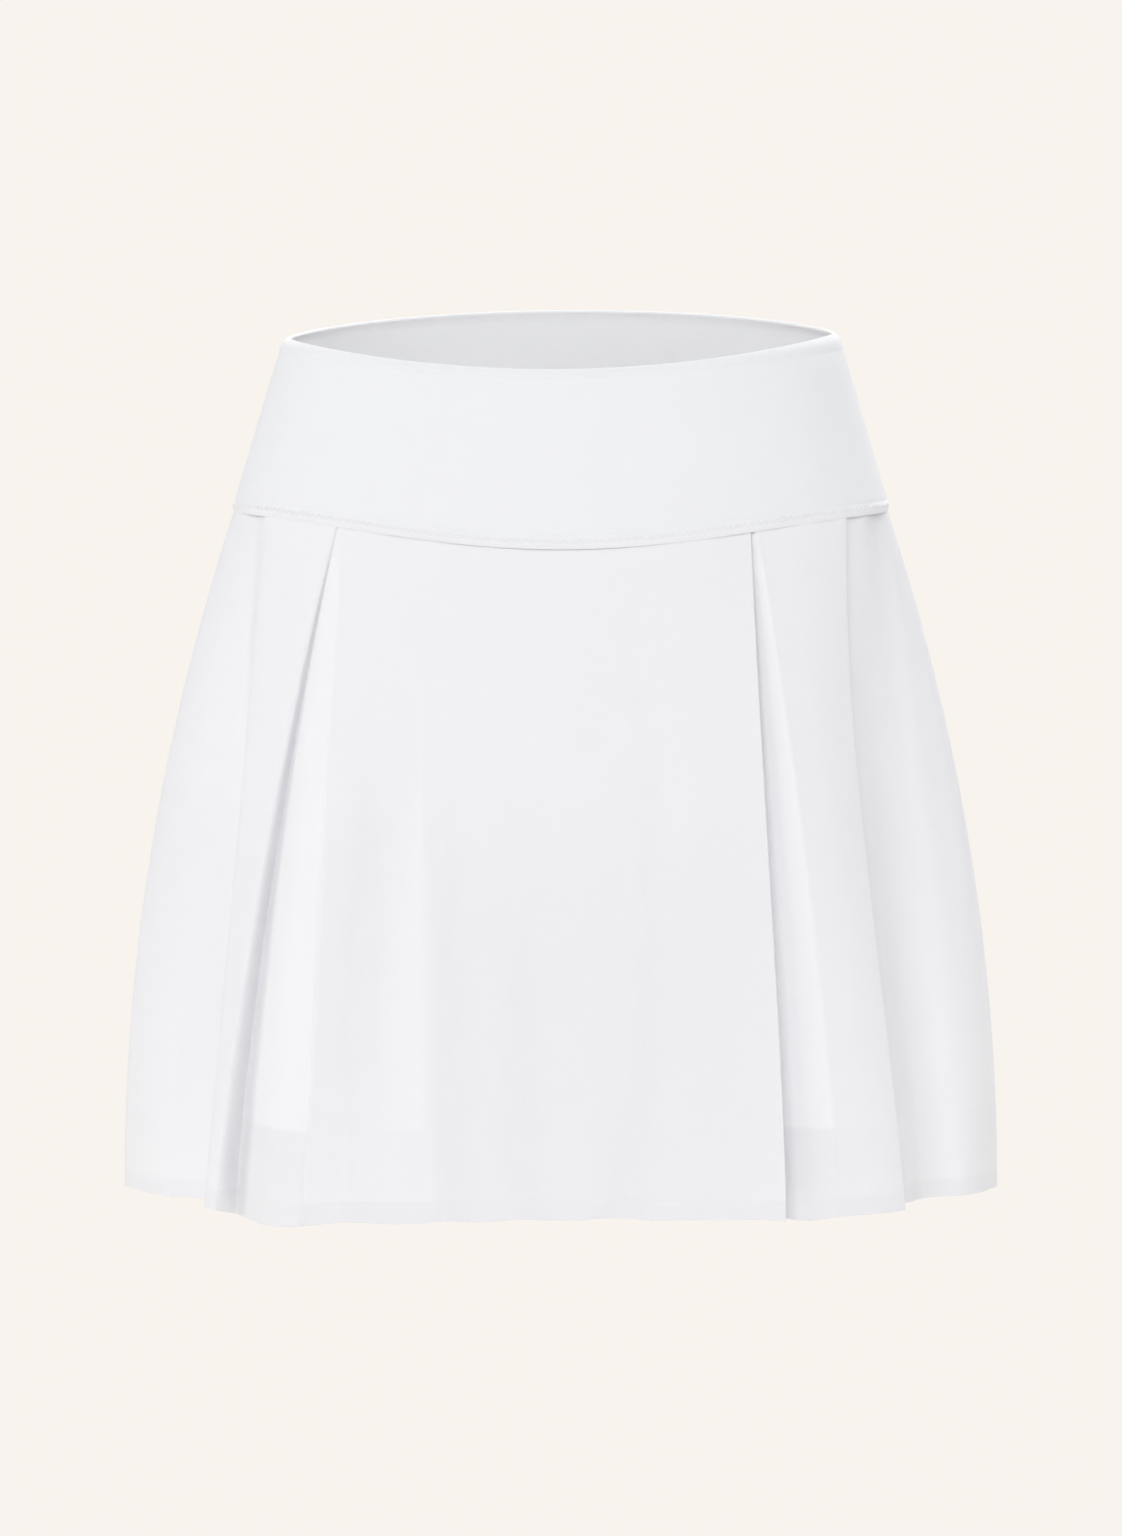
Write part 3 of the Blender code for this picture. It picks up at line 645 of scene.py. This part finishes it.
# ---- waistband

def band_sizes(side, drop):
    """Half width and half depth of the band at a drop below the rim: it flares, then hangs straight."""
    flare = np.clip(drop / (BAND_SIDE_HEIGHT - BAND_FOOT), 0.0, 1.0)
    half_width = between(RIM_HALF_WIDTH, SEAM_HALF_WIDTH, flare)
    return half_width, between(RIM_HALF_DEPTH[side], SEAM_HALF_DEPTH[side], flare)


def band_face(side, angle, drop):
    """Outer surface of the band at angles from +X and drops below the rim, which is folded and leans in."""
    sine = np.abs(np.sin(angle))
    roll = between(RIM_ROLL_HIPS, RIM_ROLL[side], sine) * np.maximum(0.0, 1.0 - drop / RIM_ROLL_HEIGHT) ** 2
    half_width, half_depth = band_sizes(side, drop)
    rim_z = RIM_LIFT[side] * sine ** RIM_LIFT_POWER[side] + RIM_TILT * np.cos(angle)
    depth = (half_depth - roll) * sine + SEAM_GAP / 2
    z = between(rim_z, -BAND_SIDE_HEIGHT + seam_lift(side, sine), drop / BAND_SIDE_HEIGHT)
    return np.stack([(half_width - roll) * np.cos(angle), forward_of(side) * depth, z], axis=-1)


def band_cloth_grids(side):
    """Face and inner grids of one half of the waistband, and its UVs in metres. The face swells under the rim
    and has a crease below that, a rib, a stitch groove and a falling edge at the waist seam, and the dents of
    the table."""
    angle = np.linspace(math.pi, 0.0, BAND_COLUMNS + 1)[None, :]
    drop = edge_rows(BAND_SIDE_HEIGHT, BAND_PITCH, *BAND_FINE_ROWS)[:, None]
    grid = band_face(side, angle, drop)
    normal = face_normals(grid, -forward_of(side))
    across, down, up, to_side = cloth_runs(grid)
    to_middle = bell(np.degrees(angle) - 90.0, SEAM_RIDGE_REACH)
    crease_drop = RIM_CREASE.place + RIM_CREASE_DIP * np.abs(np.cos(angle)) ** 4
    relief = ridge_relief(RIM_SWELL, drop) + RIM_CREASE.height * bell(drop - crease_drop, RIM_CREASE.width)
    for ridge in SEAM_RIDGES:
        relief = relief + ridge_relief(ridge, up, to_middle)
    relief = relief + pucker_relief(BAND_PUCKERS, side, across, up)
    sway = ridge_relief(BAND_SIDE_SEAM, to_side)
    for dent in BAND_DENTS[side]:
        along = np.radians(np.degrees(angle) - dent.angle) * np.hypot(grid[..., 0], grid[..., 1])
        sway = sway + dent.height * bell(along, dent.spread_along) * bell(drop - dent.drop, dent.spread_down)
    share = round_edge(down, BAND_WALL / 2, BAND_BLUNT)
    wall = between(BAND_LIP_WALL, BAND_WALL, smooth_step(up, BAND_LIP, BAND_LIP + BAND_LIP_FADE))
    middle = grid + normal * (sway - BAND_WALL / 2)[..., None]
    face = middle + normal * (BAND_WALL / 2 * share + relief)[..., None]
    inner = middle + normal * ((BAND_WALL / 2 - wall) * share)[..., None]
    return face, inner, np.stack([across, down], axis=-1) * MM


# ---- shorts

def shorts_top(s):
    """Top edge of the shorts, inside the band and following its seam: s runs from -1 in front to 1 behind."""
    hip = np.radians(90.0 * s)
    drop = BAND_SIDE_HEIGHT - SHORTS_RISE
    ends = []
    for side in ("front", "back"):
        half_width, half_depth = band_sizes(side, drop)
        x = (half_width - SHORTS_INSET) * np.cos(hip) + SEAM_GAP / 2
        z = -drop + seam_lift(side, np.abs(np.sin(hip)))
        ends.append(np.column_stack([x, (half_depth - SHORTS_INSET) * np.sin(hip), z]))
    return np.where(s[:, None] < 0, *ends)


def hip_section(level, s):
    """Half of a full oval round both hips: a circle's x and y to the power 2 / fullness, times half sizes."""
    hip = math.pi / 2 * s
    power = 2.0 / level.fullness
    across = level.half_width * np.cos(hip) ** power
    return np.column_stack([across, level.half_depth * np.sign(s) * np.abs(np.sin(hip)) ** power])


def leg_section(level, s):
    """The whole oval of one leg, from the inseam round the outside and back to the inseam."""
    leg = math.pi * np.sign(s) * np.abs(s) ** LEG_CROWDING
    across = level.middle + SOLID_WALL / 2 + level.half_width * np.cos(leg)
    return np.column_stack([across, level.half_depth * np.sin(leg)])


def shorts_row(plan, z_side, z_middle, s):
    """A row of points of one half: its section, held off the centre plane, at a height that bends to the
    middle."""
    return np.column_stack([plan[:, 0] + SEAM_GAP / 2, plan[:, 1], between(z_side, z_middle, np.abs(s) ** 3)])


def crotch_rows(s):
    """Rows from the hips to the legs: the centre seam runs down and under along a quarter of an oval, and the
    sections pass from half of the hips' oval to the leg's whole one by the same quarter turn."""
    hips, leg = HIP_LEVELS[-1], LEG_LEVELS[0]
    rows = []
    for step in range(1, CROTCH_STEPS):
        turn = math.pi / 2 * step / CROTCH_STEPS
        plan = between(hip_section(hips, s), leg_section(leg, s), 1.0 - math.cos(turn))
        z_side = between(hips.z_side, leg.z, step / CROTCH_STEPS)
        rows.append(shorts_row(plan, z_side, between(hips.z_side, leg.z, math.sin(turn)), s))
    return rows


def shorts_middle():
    """Middle surface of the right leg and its half of the hips, its rows carried through the levels by smooth
    curves."""
    s = np.linspace(-1.0, 1.0, 2 * SHORTS_HALF_COLUMNS + 1)
    rows = [shorts_top(s)]
    rows += [shorts_row(hip_section(level, s), level.z_side, level.z_middle, s) for level in HIP_LEVELS]
    rows += crotch_rows(s)
    rows += [shorts_row(leg_section(level, s), level.z, level.z, s) for level in LEG_LEVELS]
    lines = np.array(rows).transpose(1, 0, 2)
    lengths = np.linalg.norm(np.diff(lines, axis=1), axis=2).max(axis=0)
    counts = np.maximum(1, np.round(lengths / SHORTS_ROW_PITCH)).astype(int)
    counts[-1] *= SHORTS_HEM_FINENESS
    span, share = spans_and_shares(counts)
    first = 2.0 * lines[:, :1] - lines[:, 1:2]
    last = 2.0 * lines[:, -1:] - lines[:, -2:-1]
    lines = np.concatenate([first, lines, last], axis=1)
    return catmull_rom(lines, span, share).transpose(1, 0, 2)


def shorts_cloth_grids(hand):
    """Face and inner grids of one leg of the shorts, and its UVs in metres: soft drag lines from the crotch,
    rolled seam edges, and a hem turned up inside."""
    grid = shorts_middle()
    grid[..., 0] *= hand
    normal = face_normals(grid, -hand)
    across, down, to_hem, to_seam = cloth_runs(grid)
    lines = np.sin(down / DRAG_PITCH[0] + to_seam / DRAG_PITCH[1] + hand)
    lines = lines * bell(to_seam - DRAG_PLACE, DRAG_REACH) * bell(grid[..., 2] - LEG_LEVELS[0].z, DRAG_REACH)
    relief = DRAG_HEIGHT * lines + ridge_relief(SHORTS_SEAM, to_seam)
    for row in HEM_STITCH_ROWS:
        relief = relief + ridge_relief(HEM_STITCH_GROOVE, to_hem - row)
    face, inner = hemmed_wall(grid, normal, relief, to_hem, SHORTS_HEM)
    return face, inner, np.stack([across, down], axis=-1) * MM


# ---- meshes

def mesh_from_arrays(points, quads, uv):
    """Mesh with these points in millimetres, four-sided faces and a UV for each point."""
    mesh = bpy.data.meshes.new("cloth")
    mesh.vertices.add(len(points))
    mesh.vertices.foreach_set("co", (points * MM).astype(np.float32).ravel())
    mesh.loops.add(quads.size)
    mesh.loops.foreach_set("vertex_index", quads.astype(np.int32).ravel())
    mesh.polygons.add(len(quads))
    mesh.polygons.foreach_set("loop_start", np.arange(0, quads.size, 4, dtype=np.int32))
    mesh.update(calc_edges=True)
    layer = mesh.uv_layers.new(name="Cloth")
    layer.data.foreach_set("uv", uv[quads.ravel()].astype(np.float32).ravel())
    mesh.validate()
    mesh.shade_smooth()
    mesh.set_sharp_from_angle(angle=math.radians(SHARP_ANGLE))
    return mesh


def shell_mesh(outward, face, inner, uv, show_through_light=None):
    """Closed wall between two grids of one layout: the face, the inner side and the edges all round. The share
    of painted show-through light goes to the attribute of that name."""
    rows, columns, _ = face.shape
    count = rows * columns
    index = np.arange(count).reshape(rows, columns)
    skin = np.stack([index[:-1, :-1], index[1:, :-1], index[1:, 1:], index[:-1, 1:]], axis=-1).reshape(-1, 4)
    ring = np.concatenate([index[:, 0], index[-1, 1:], index[-2::-1, -1], index[0, -2:0:-1]])
    following = np.roll(ring, -1)
    edge = np.stack([following, ring, ring + count, following + count], axis=-1)
    quads = np.concatenate([skin, skin[:, ::-1] + count, edge])
    if outward < 0:
        quads = quads[:, ::-1]
    points = np.concatenate([face.reshape(-1, 3), inner.reshape(-1, 3)])
    mesh = mesh_from_arrays(points, quads, np.tile(uv.reshape(-1, 2), (2, 1)))
    if show_through_light is not None:
        layer = mesh.attributes.new("Show-through light", "FLOAT", "POINT")
        layer.data.foreach_set("value", np.tile(show_through_light.ravel(), 2).astype(np.float32))
    return mesh


def stitch_mesh(stitches):
    """Small bowed tubes of thread, thin at both ends, that rise along the normal in the middle, from a list
    of (starts, ends, normals) with a row for each stitch."""
    starts, ends, normals = (np.concatenate(part) for part in zip(*stitches))
    rings, sides, many = len(THREAD_GIRTH), THREAD_SIDES, len(starts)
    share = np.linspace(0.0, 1.0, rings)
    rise = THREAD_RISE * THREAD_RADIUS * np.sin(math.pi * share)
    girth = THREAD_RADIUS * np.array(THREAD_GIRTH)
    along = ends - starts
    tangent = along / np.linalg.norm(along, axis=1, keepdims=True)
    side = np.cross(tangent, normals)
    centre = starts[:, None] + along[:, None] * share[None, :, None] + normals[:, None] * rise[None, :, None]
    turn = np.arange(sides) * 2.0 * math.pi / sides
    spoke = side[:, None] * np.cos(turn)[None, :, None] + normals[:, None] * np.sin(turn)[None, :, None]
    points = (centre[:, :, None] + spoke[:, None] * girth[None, :, None, None]).reshape(-1, 3)
    ring, spot = np.meshgrid(np.arange(rings - 1), np.arange(sides), indexing="ij")
    a = ring * sides + spot
    b = ring * sides + (spot + 1) % sides
    walls = np.stack([a, b, b + sides, a + sides], axis=-1).reshape(-1, 4)
    first_cap = np.array([[3, 2, 1, 0], [5, 4, 3, 0]])
    last_cap = (rings - 1) * sides + np.array([[0, 1, 2, 3], [0, 3, 4, 5]])
    one = np.concatenate([walls, first_cap, last_cap])[:, ::-1]
    quads = (one[None] + (np.arange(many) * rings * sides)[:, None, None]).reshape(-1, 4)
    uv = np.stack([np.tile(np.repeat(share, sides), many), np.zeros(len(points))], axis=-1)
    return mesh_from_arrays(points, quads, uv)


def add_object(name, data, place=(0.0, 0.0, 0.0)):
    """New object in the scene."""
    thing = bpy.data.objects.new(name, data)
    thing.location = place
    bpy.context.scene.collection.objects.link(thing)
    return thing


def piece(name, mesh, material, node=None):
    """One finished piece on the skirt's only body."""
    mesh.name = name
    mesh.materials.append(material)
    thing = add_object(name, mesh)
    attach(thing, "root")
    if node:
        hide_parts(node)
    return thing


# ---- stitching

def points_along(curve, normals, places):
    """Points and normals on a curve at these distances along it."""
    run = np.concatenate([[0.0], np.cumsum(np.linalg.norm(np.diff(curve, axis=0), axis=1))])
    at, up = (np.column_stack([np.interp(places, run, row) for row in line.T]) for line in (curve, normals))
    return at, up / np.linalg.norm(up, axis=1, keepdims=True)


def curve_length(curve):
    """Length of a curve of points."""
    return np.linalg.norm(np.diff(curve, axis=0), axis=1).sum()


def row_at(grid, distance):
    """Curve across a grid at a distance above its last row, read between rows, one point a column."""
    turned = grid[::-1]
    up = arc_lengths(turned, 0)
    level = np.argmax(up >= distance, axis=0)
    column = np.arange(grid.shape[1])
    low, high = up[level - 1, column], up[level, column]
    share = ((distance - low) / (high - low))[:, None]
    return between(turned[level - 1, column], turned[level, column], share)


def cover_stitch(side, face):
    """Zigzag of the cover stitch over the waist seam, between its two rows, with a tack bar of close upright
    stitches in front."""
    normals = face_normals(face, -forward_of(side))[COVER_STITCH_NORMALS]
    low, high = (row_at(face, row) for row in COVER_STITCH_ROWS)
    length = curve_length(low)
    places = np.arange(COVER_STITCH_MARGIN, length - COVER_STITCH_MARGIN, COVER_STITCH_STEP)
    foot, up = points_along(low, normals, places)
    head, _ = points_along(high, normals, places)
    even = (np.arange(len(places)) % 2 == 0)[:, None]
    corners = np.where(even, foot, head) + up * THREAD_RADIUS * COVER_STITCH_LIFT
    stitches = [(corners[:-1], corners[1:], up[:-1])]
    if side == "front":
        first = np.interp(TACK_PLACE, low[:, 0], np.linspace(0.0, length, len(low)))
        places = first + TACK_STEP * np.arange(TACK_STITCHES)
        foot, up = points_along(low, normals, places)
        head, _ = points_along(high, normals, places)
        stitches.append((foot + up * THREAD_RADIUS, head + up * THREAD_RADIUS, up))
    return stitch_mesh(stitches)


def leg_stitch(face, outward):
    """Two rows of straight stitches round a leg's hem."""
    normals = face_normals(face, outward)[HEM_STITCH_NORMALS]
    stitches = []
    for row in HEM_STITCH_ROWS:
        curve = row_at(face, row)
        places = np.arange(HEM_STITCH_MARGIN, curve_length(curve) - 2.0 * HEM_STITCH_MARGIN, HEM_STITCH_STEP)
        start, up = points_along(curve, normals, places)
        end, _ = points_along(curve, normals, places + HEM_STITCH_LENGTH)
        stitches.append((start, end, up))
    return stitch_mesh(stitches)


# ---- materials

def fill_inputs(node, inputs):
    """Give a node's inputs their constants, or link them from other nodes' outputs."""
    for key, value in inputs.items():
        if isinstance(value, bpy.types.NodeSocket):
            node.id_data.links.new(value, node.inputs[key])
        else:
            node.inputs[key].default_value = value


def add_node(tree, kind, inputs=None, **settings):
    """New shader node with these settings and inputs."""
    node = tree.nodes.new(f"ShaderNode{kind}")
    for key, value in settings.items():
        setattr(node, key, value)
    fill_inputs(node, inputs or {})
    return node


def new_group(name, inputs, outputs):
    """Shader node group with inputs (name, kind, default) and floats as outputs: its tree, the sockets that
    give the inputs, and the node that takes the outputs."""
    group = bpy.data.node_groups.new(name, "ShaderNodeTree")
    for label, kind, default in inputs:
        socket = group.interface.new_socket(label, in_out="INPUT", socket_type=f"NodeSocket{kind}")
        if default is not None:
            socket.default_value = default
    for label in outputs:
        group.interface.new_socket(label, in_out="OUTPUT", socket_type="NodeSocketFloat")
    source = group.nodes.new("NodeGroupInput")
    return group, [source.outputs[label] for label, _, _ in inputs], group.nodes.new("NodeGroupOutput")


def operations(tree, *names):
    """For each math operation's name, a function that adds such a node, with sockets or numbers for inputs,
    and gives its output."""

    def adder(name):
        return lambda *values: add_node(tree, "Math", dict(enumerate(values)), operation=name).outputs[0]

    return [adder(name) for name in names]


def noise(tree, vector, grain):
    """Noise texture's value, from 0 to 1."""
    inputs = {"Vector": vector, "Scale": grain.scale, "Detail": grain.detail}
    return add_node(tree, "TexNoise", inputs).outputs["Fac"]


def mix_colours(tree, factor, a, b, blend="MIX"):
    """Colour between two sockets or colours, by a factor from the first to the second."""
    inputs = {"Factor": factor, "A": a, "B": b}
    return add_node(tree, "Mix", inputs, data_type="RGBA", blend_type=blend).outputs["Result"]


def height_of(tree, place):
    """The Z of a place."""
    return add_node(tree, "SeparateXYZ", {0: place}).outputs[2]


def soft_edge(tree, value, low, high):
    """0 below low and 1 above high, with a smooth step between them; high may lie below low."""
    limits = {"Value": value, "From Min": low, "From Max": high}
    return add_node(tree, "MapRange", limits, interpolation_type="SMOOTHSTEP").outputs["Result"]


def new_material(name, inputs):
    """Material, its node tree and its shader with these inputs."""
    material = bpy.data.materials.new(name)
    material.use_nodes = True
    shader = material.node_tree.nodes["Principled BSDF"]
    fill_inputs(shader, inputs)
    return material, material.node_tree, shader


def cloth_face_group():
    """Height and shade of a cloth's face, from UVs in metres. Height is a grid of yarn crowns, sine by sine
    at the pitch of the yarns, with ribs down the cloth and fuzz over it. Shade is an unevenness round 1."""
    group, (uv, yarns, rib, unevenness), outputs = new_group(
        "Cloth face",
        [
            ("UV", "Vector", None),
            ("Yarns per metre", "Float", 2500.0),
            ("Rib", "Float", 0.5),
            ("Unevenness", "Float", 0.02),
        ],
        ["Height", "Shade"],
    )
    add, times, sine, size = operations(group, "ADD", "MULTIPLY", "SINE", "ABSOLUTE")
    split = add_node(group, "SeparateXYZ", {0: uv})
    turns = times(yarns, math.pi)
    across = size(sine(times(split.outputs[0], turns)))
    down = size(sine(times(split.outputs[1], times(turns, CROWNS_DOWN))))
    fuzz = times(noise(group, uv, FUZZ_GRAIN), FUZZ)
    broad, fine = (noise(group, uv, grain) for grain in (BROAD_GRAIN, FINE_GRAIN))
    both = add(times(broad, BROAD_SHARE), times(fine, 1.0 - BROAD_SHARE))
    outcome = {
        "Height": add(add(times(across, down), times(across, rib)), fuzz),
        "Shade": add(times(add(both, -0.5), unevenness), 1.0),
    }
    fill_inputs(outputs, outcome)
    return group


def cloth_material(cloth, face_group, colour_of=None):
    """Matte cloth: its colour times the face's shade, fine bump from the face's height, and a soft sheen. Its
    colour may come from a function that adds nodes to its tree."""
    looks = {
        "Roughness": CLOTH_ROUGHNESS,
        "Specular IOR Level": CLOTH_SPECULAR,
        "Sheen Weight": cloth.sheen,
        "Sheen Roughness": SHEEN_ROUGHNESS,
    }
    material, tree, shader = new_material(cloth.name, looks)
    uv = add_node(tree, "UVMap", uv_map="Cloth").outputs[0]
    weave = {"UV": uv, "Yarns per metre": cloth.yarns, "Rib": cloth.rib, "Unevenness": cloth.unevenness}
    face = add_node(tree, "Group", weave, node_tree=face_group)
    colour = colour_of(tree) if colour_of else (*cloth.colour, 1.0)
    tint = mix_colours(tree, 1.0, colour, face.outputs["Shade"], "MULTIPLY")
    bump = {"Strength": BUMP_STRENGTH, "Distance": cloth.bump * MM, "Height": face.outputs["Height"]}
    fill_inputs(shader, {"Base Color": tint, "Normal": add_node(tree, "Bump", bump).outputs["Normal"]})
    return material


def show_through_light_group():
    """Painted show-through light: how much paler the cloth is painted where the shorts lie behind it, standing
    in for light that comes back through the thin cloth. It is the share b above the legs' hem, and b (1 - b)
    times a strength below it, so that full show-through light ends there at a straight soft edge and weak
    show-through light goes on."""
    hem_z = LEG_LEVELS[-1].z * MM
    group, (place, show_through_light, hem_height), outputs = new_group(
        "Painted show-through light",
        [("Position", "Vector", None), ("Show-through light", "Float", 0.0), ("Leg hem height", "Float", hem_z)],
        ["Mask"],
    )
    add, less, times = operations(group, "ADD", "SUBTRACT", "MULTIPLY")
    above = less(height_of(group, place), hem_height)
    edge = soft_edge(group, above, -LEG_EDGE_BLUR * MM, LEG_EDGE_BLUR * MM)
    below = times(less(1.0, edge), times(less(1.0, show_through_light), WEAK_SHOW_THROUGH))
    fill_inputs(outputs, {"Mask": times(add(edge, below), show_through_light)})
    return group


def skirt_colour(tree):
    """The skirt's colour: whiter where the shorts lie behind it, as painted show-through light, and slightly
    darker on the bonded hem.
    """
    place = add_node(tree, "TexCoord").outputs["Object"]
    show_through_light = add_node(tree, "Attribute", attribute_name="Show-through light").outputs["Fac"]
    backed = add_node(tree, "Group", {"Position": place, "Show-through light": show_through_light}, node_tree=show_through_light_group())
    # Painted light: paler where the shorts show through the cloth
    blend = mix_colours(tree, backed.outputs["Mask"], (*SKIRT_WEAVE.colour, 1.0), (*SHOW_THROUGH_LIGHT_COLOUR, 1.0))
    low, high = ((HEM_Z + SKIRT_HEM.height + blur) * MM for blur in (HEM_EDGE_BLUR, -HEM_EDGE_BLUR))
    hem = soft_edge(tree, height_of(tree, place), low, high)
    return mix_colours(tree, hem, blend, (*HEM_COLOUR, 1.0))


def camera_switch(tree, to_others, to_camera, output):
    """One shader for the camera and another for everything else, on an output."""
    path = add_node(tree, "LightPath")
    mix = add_node(tree, "MixShader", {"Fac": path.outputs["Is Camera Ray"], 1: to_others, 2: to_camera})
    fill_inputs(tree.nodes[output], {"Surface": mix.outputs[0]})


def backdrop_material():
    """Plain cream that looks even to the camera, and reflects softly to everything else."""
    cream = (*BACKDROP_COLOUR, 1.0)
    looks = {"Base Color": cream, "Roughness": FLOOR_ROUGHNESS}
    material, tree, shader = new_material("Backdrop paper", looks)
    glow = add_node(tree, "Emission", {"Color": cream})
    camera_switch(tree, shader.outputs[0], glow.outputs[0], "Material Output")
    return material


# ---- stage

def make_floor():
    """Round sheet of paper far below the skirt."""
    bpy.ops.mesh.primitive_circle_add(
        vertices=FLOOR_SIDES, radius=FLOOR_RADIUS, fill_type="NGON", location=(0.0, 0.0, FLOOR_Z)
    )
    floor = bpy.context.object
    floor.name = "floor"
    floor.data.materials.append(backdrop_material())


def make_world():
    """Cream to the camera; to everything else a soft studio whose light changes evenly with the height."""
    world = bpy.data.worlds.new("Studio")
    bpy.context.scene.world = world
    world.use_nodes = True
    tree = world.node_tree
    seen = tree.nodes["Background"]
    fill_inputs(seen, {"Color": (*BACKDROP_COLOUR, 1.0)})
    up = height_of(tree, add_node(tree, "TexCoord").outputs["Generated"])
    height = add_node(tree, "MapRange", {"Value": up, "From Min": -1.0}).outputs["Result"]
    shade = mix_colours(tree, height, (*LIGHT_BELOW, 1.0), (*LIGHT_ABOVE, 1.0))
    light = add_node(tree, "Background", {"Color": shade})
    camera_switch(tree, light.outputs[0], seen.outputs[0], "World Output")


def aim(thing, target):
    """Turn a lamp so that it looks at a point."""
    x, y, z = np.array(target) - np.array(thing.location)
    thing.rotation_euler = (math.atan2(math.hypot(x, y), -z), 0.0, -math.atan2(x, y))


def soft_lamp(lamp):
    """Square soft box that looks at the skirt."""
    light = bpy.data.lights.new(lamp.name, "AREA")
    light.shape = "SQUARE"
    light.size = lamp.size
    light.energy = lamp.watts
    light.color = lamp.colour
    aim(add_object(lamp.name, light, lamp.place), CAMERA_TARGET)


def make_camera():
    """Camera a little above the level, in front, with the long side of its sensor upright."""
    camera = bpy.data.cameras.new("Camera")
    camera.sensor_width = SENSOR_SIZE
    camera.lens = SENSOR_SIZE * CAMERA_DISTANCE / VIEW_HEIGHT
    rise = math.radians(CAMERA_ELEVATION)
    back = CAMERA_DISTANCE * np.array([0.0, -math.cos(rise), math.sin(rise)])
    thing = add_object("Camera", camera, np.array(CAMERA_TARGET) + back)
    thing.rotation_euler = (math.radians(90.0 - CAMERA_ELEVATION), 0.0, 0.0)
    bpy.context.scene.camera = thing


def make_stage():
    """Floor, studio light, lamps and camera."""
    bpy.context.scene.view_settings.view_transform = "Standard"
    make_floor()
    make_world()
    for lamp in LAMPS:
        soft_lamp(lamp)
    make_camera()


# ---- the skirt

def make_skirt():
    """Every piece, with its node and finish."""
    face_group = cloth_face_group()
    band_cloth = cloth_material(BAND_KNIT, face_group)
    shorts_cloth = cloth_material(SHORTS_KNIT, face_group)
    thread = cloth_material(THREAD, face_group)
    skirt_cloth = cloth_material(SKIRT_WEAVE, face_group, skirt_colour)
    for side in ("front", "back"):
        outward = -forward_of(side)
        grids = band_cloth_grids(side)
        mesh = shell_mesh(outward, *grids)
        band = piece(f"band_{side}", mesh, band_cloth, f"waistband_{side}")
        stitch = piece(f"cover_stitch_{side}", cover_stitch(side, grids[0]), thread)
        mesh = shell_mesh(outward, *skirt_cloth_grids(side))
        skirt = piece(f"panel_{side}", mesh, skirt_cloth, f"skirt_{side}")
    for name, hand in (("left", -1.0), ("right", 1.0)):
        grids = shorts_cloth_grids(hand)
        mesh = shell_mesh(-hand, *grids)
        leg = piece(f"shorts_{name}", mesh, shorts_cloth, f"tights_{name}")
        stitch = piece(f"leg_stitch_{name}", leg_stitch(grids[0], -hand), thread)


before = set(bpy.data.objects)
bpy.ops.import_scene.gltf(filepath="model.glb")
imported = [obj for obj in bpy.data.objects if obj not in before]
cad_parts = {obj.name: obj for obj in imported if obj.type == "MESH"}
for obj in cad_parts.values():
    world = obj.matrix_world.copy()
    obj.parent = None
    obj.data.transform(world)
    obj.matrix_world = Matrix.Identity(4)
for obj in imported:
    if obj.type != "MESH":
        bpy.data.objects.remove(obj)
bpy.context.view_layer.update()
make_stage()
make_skirt()
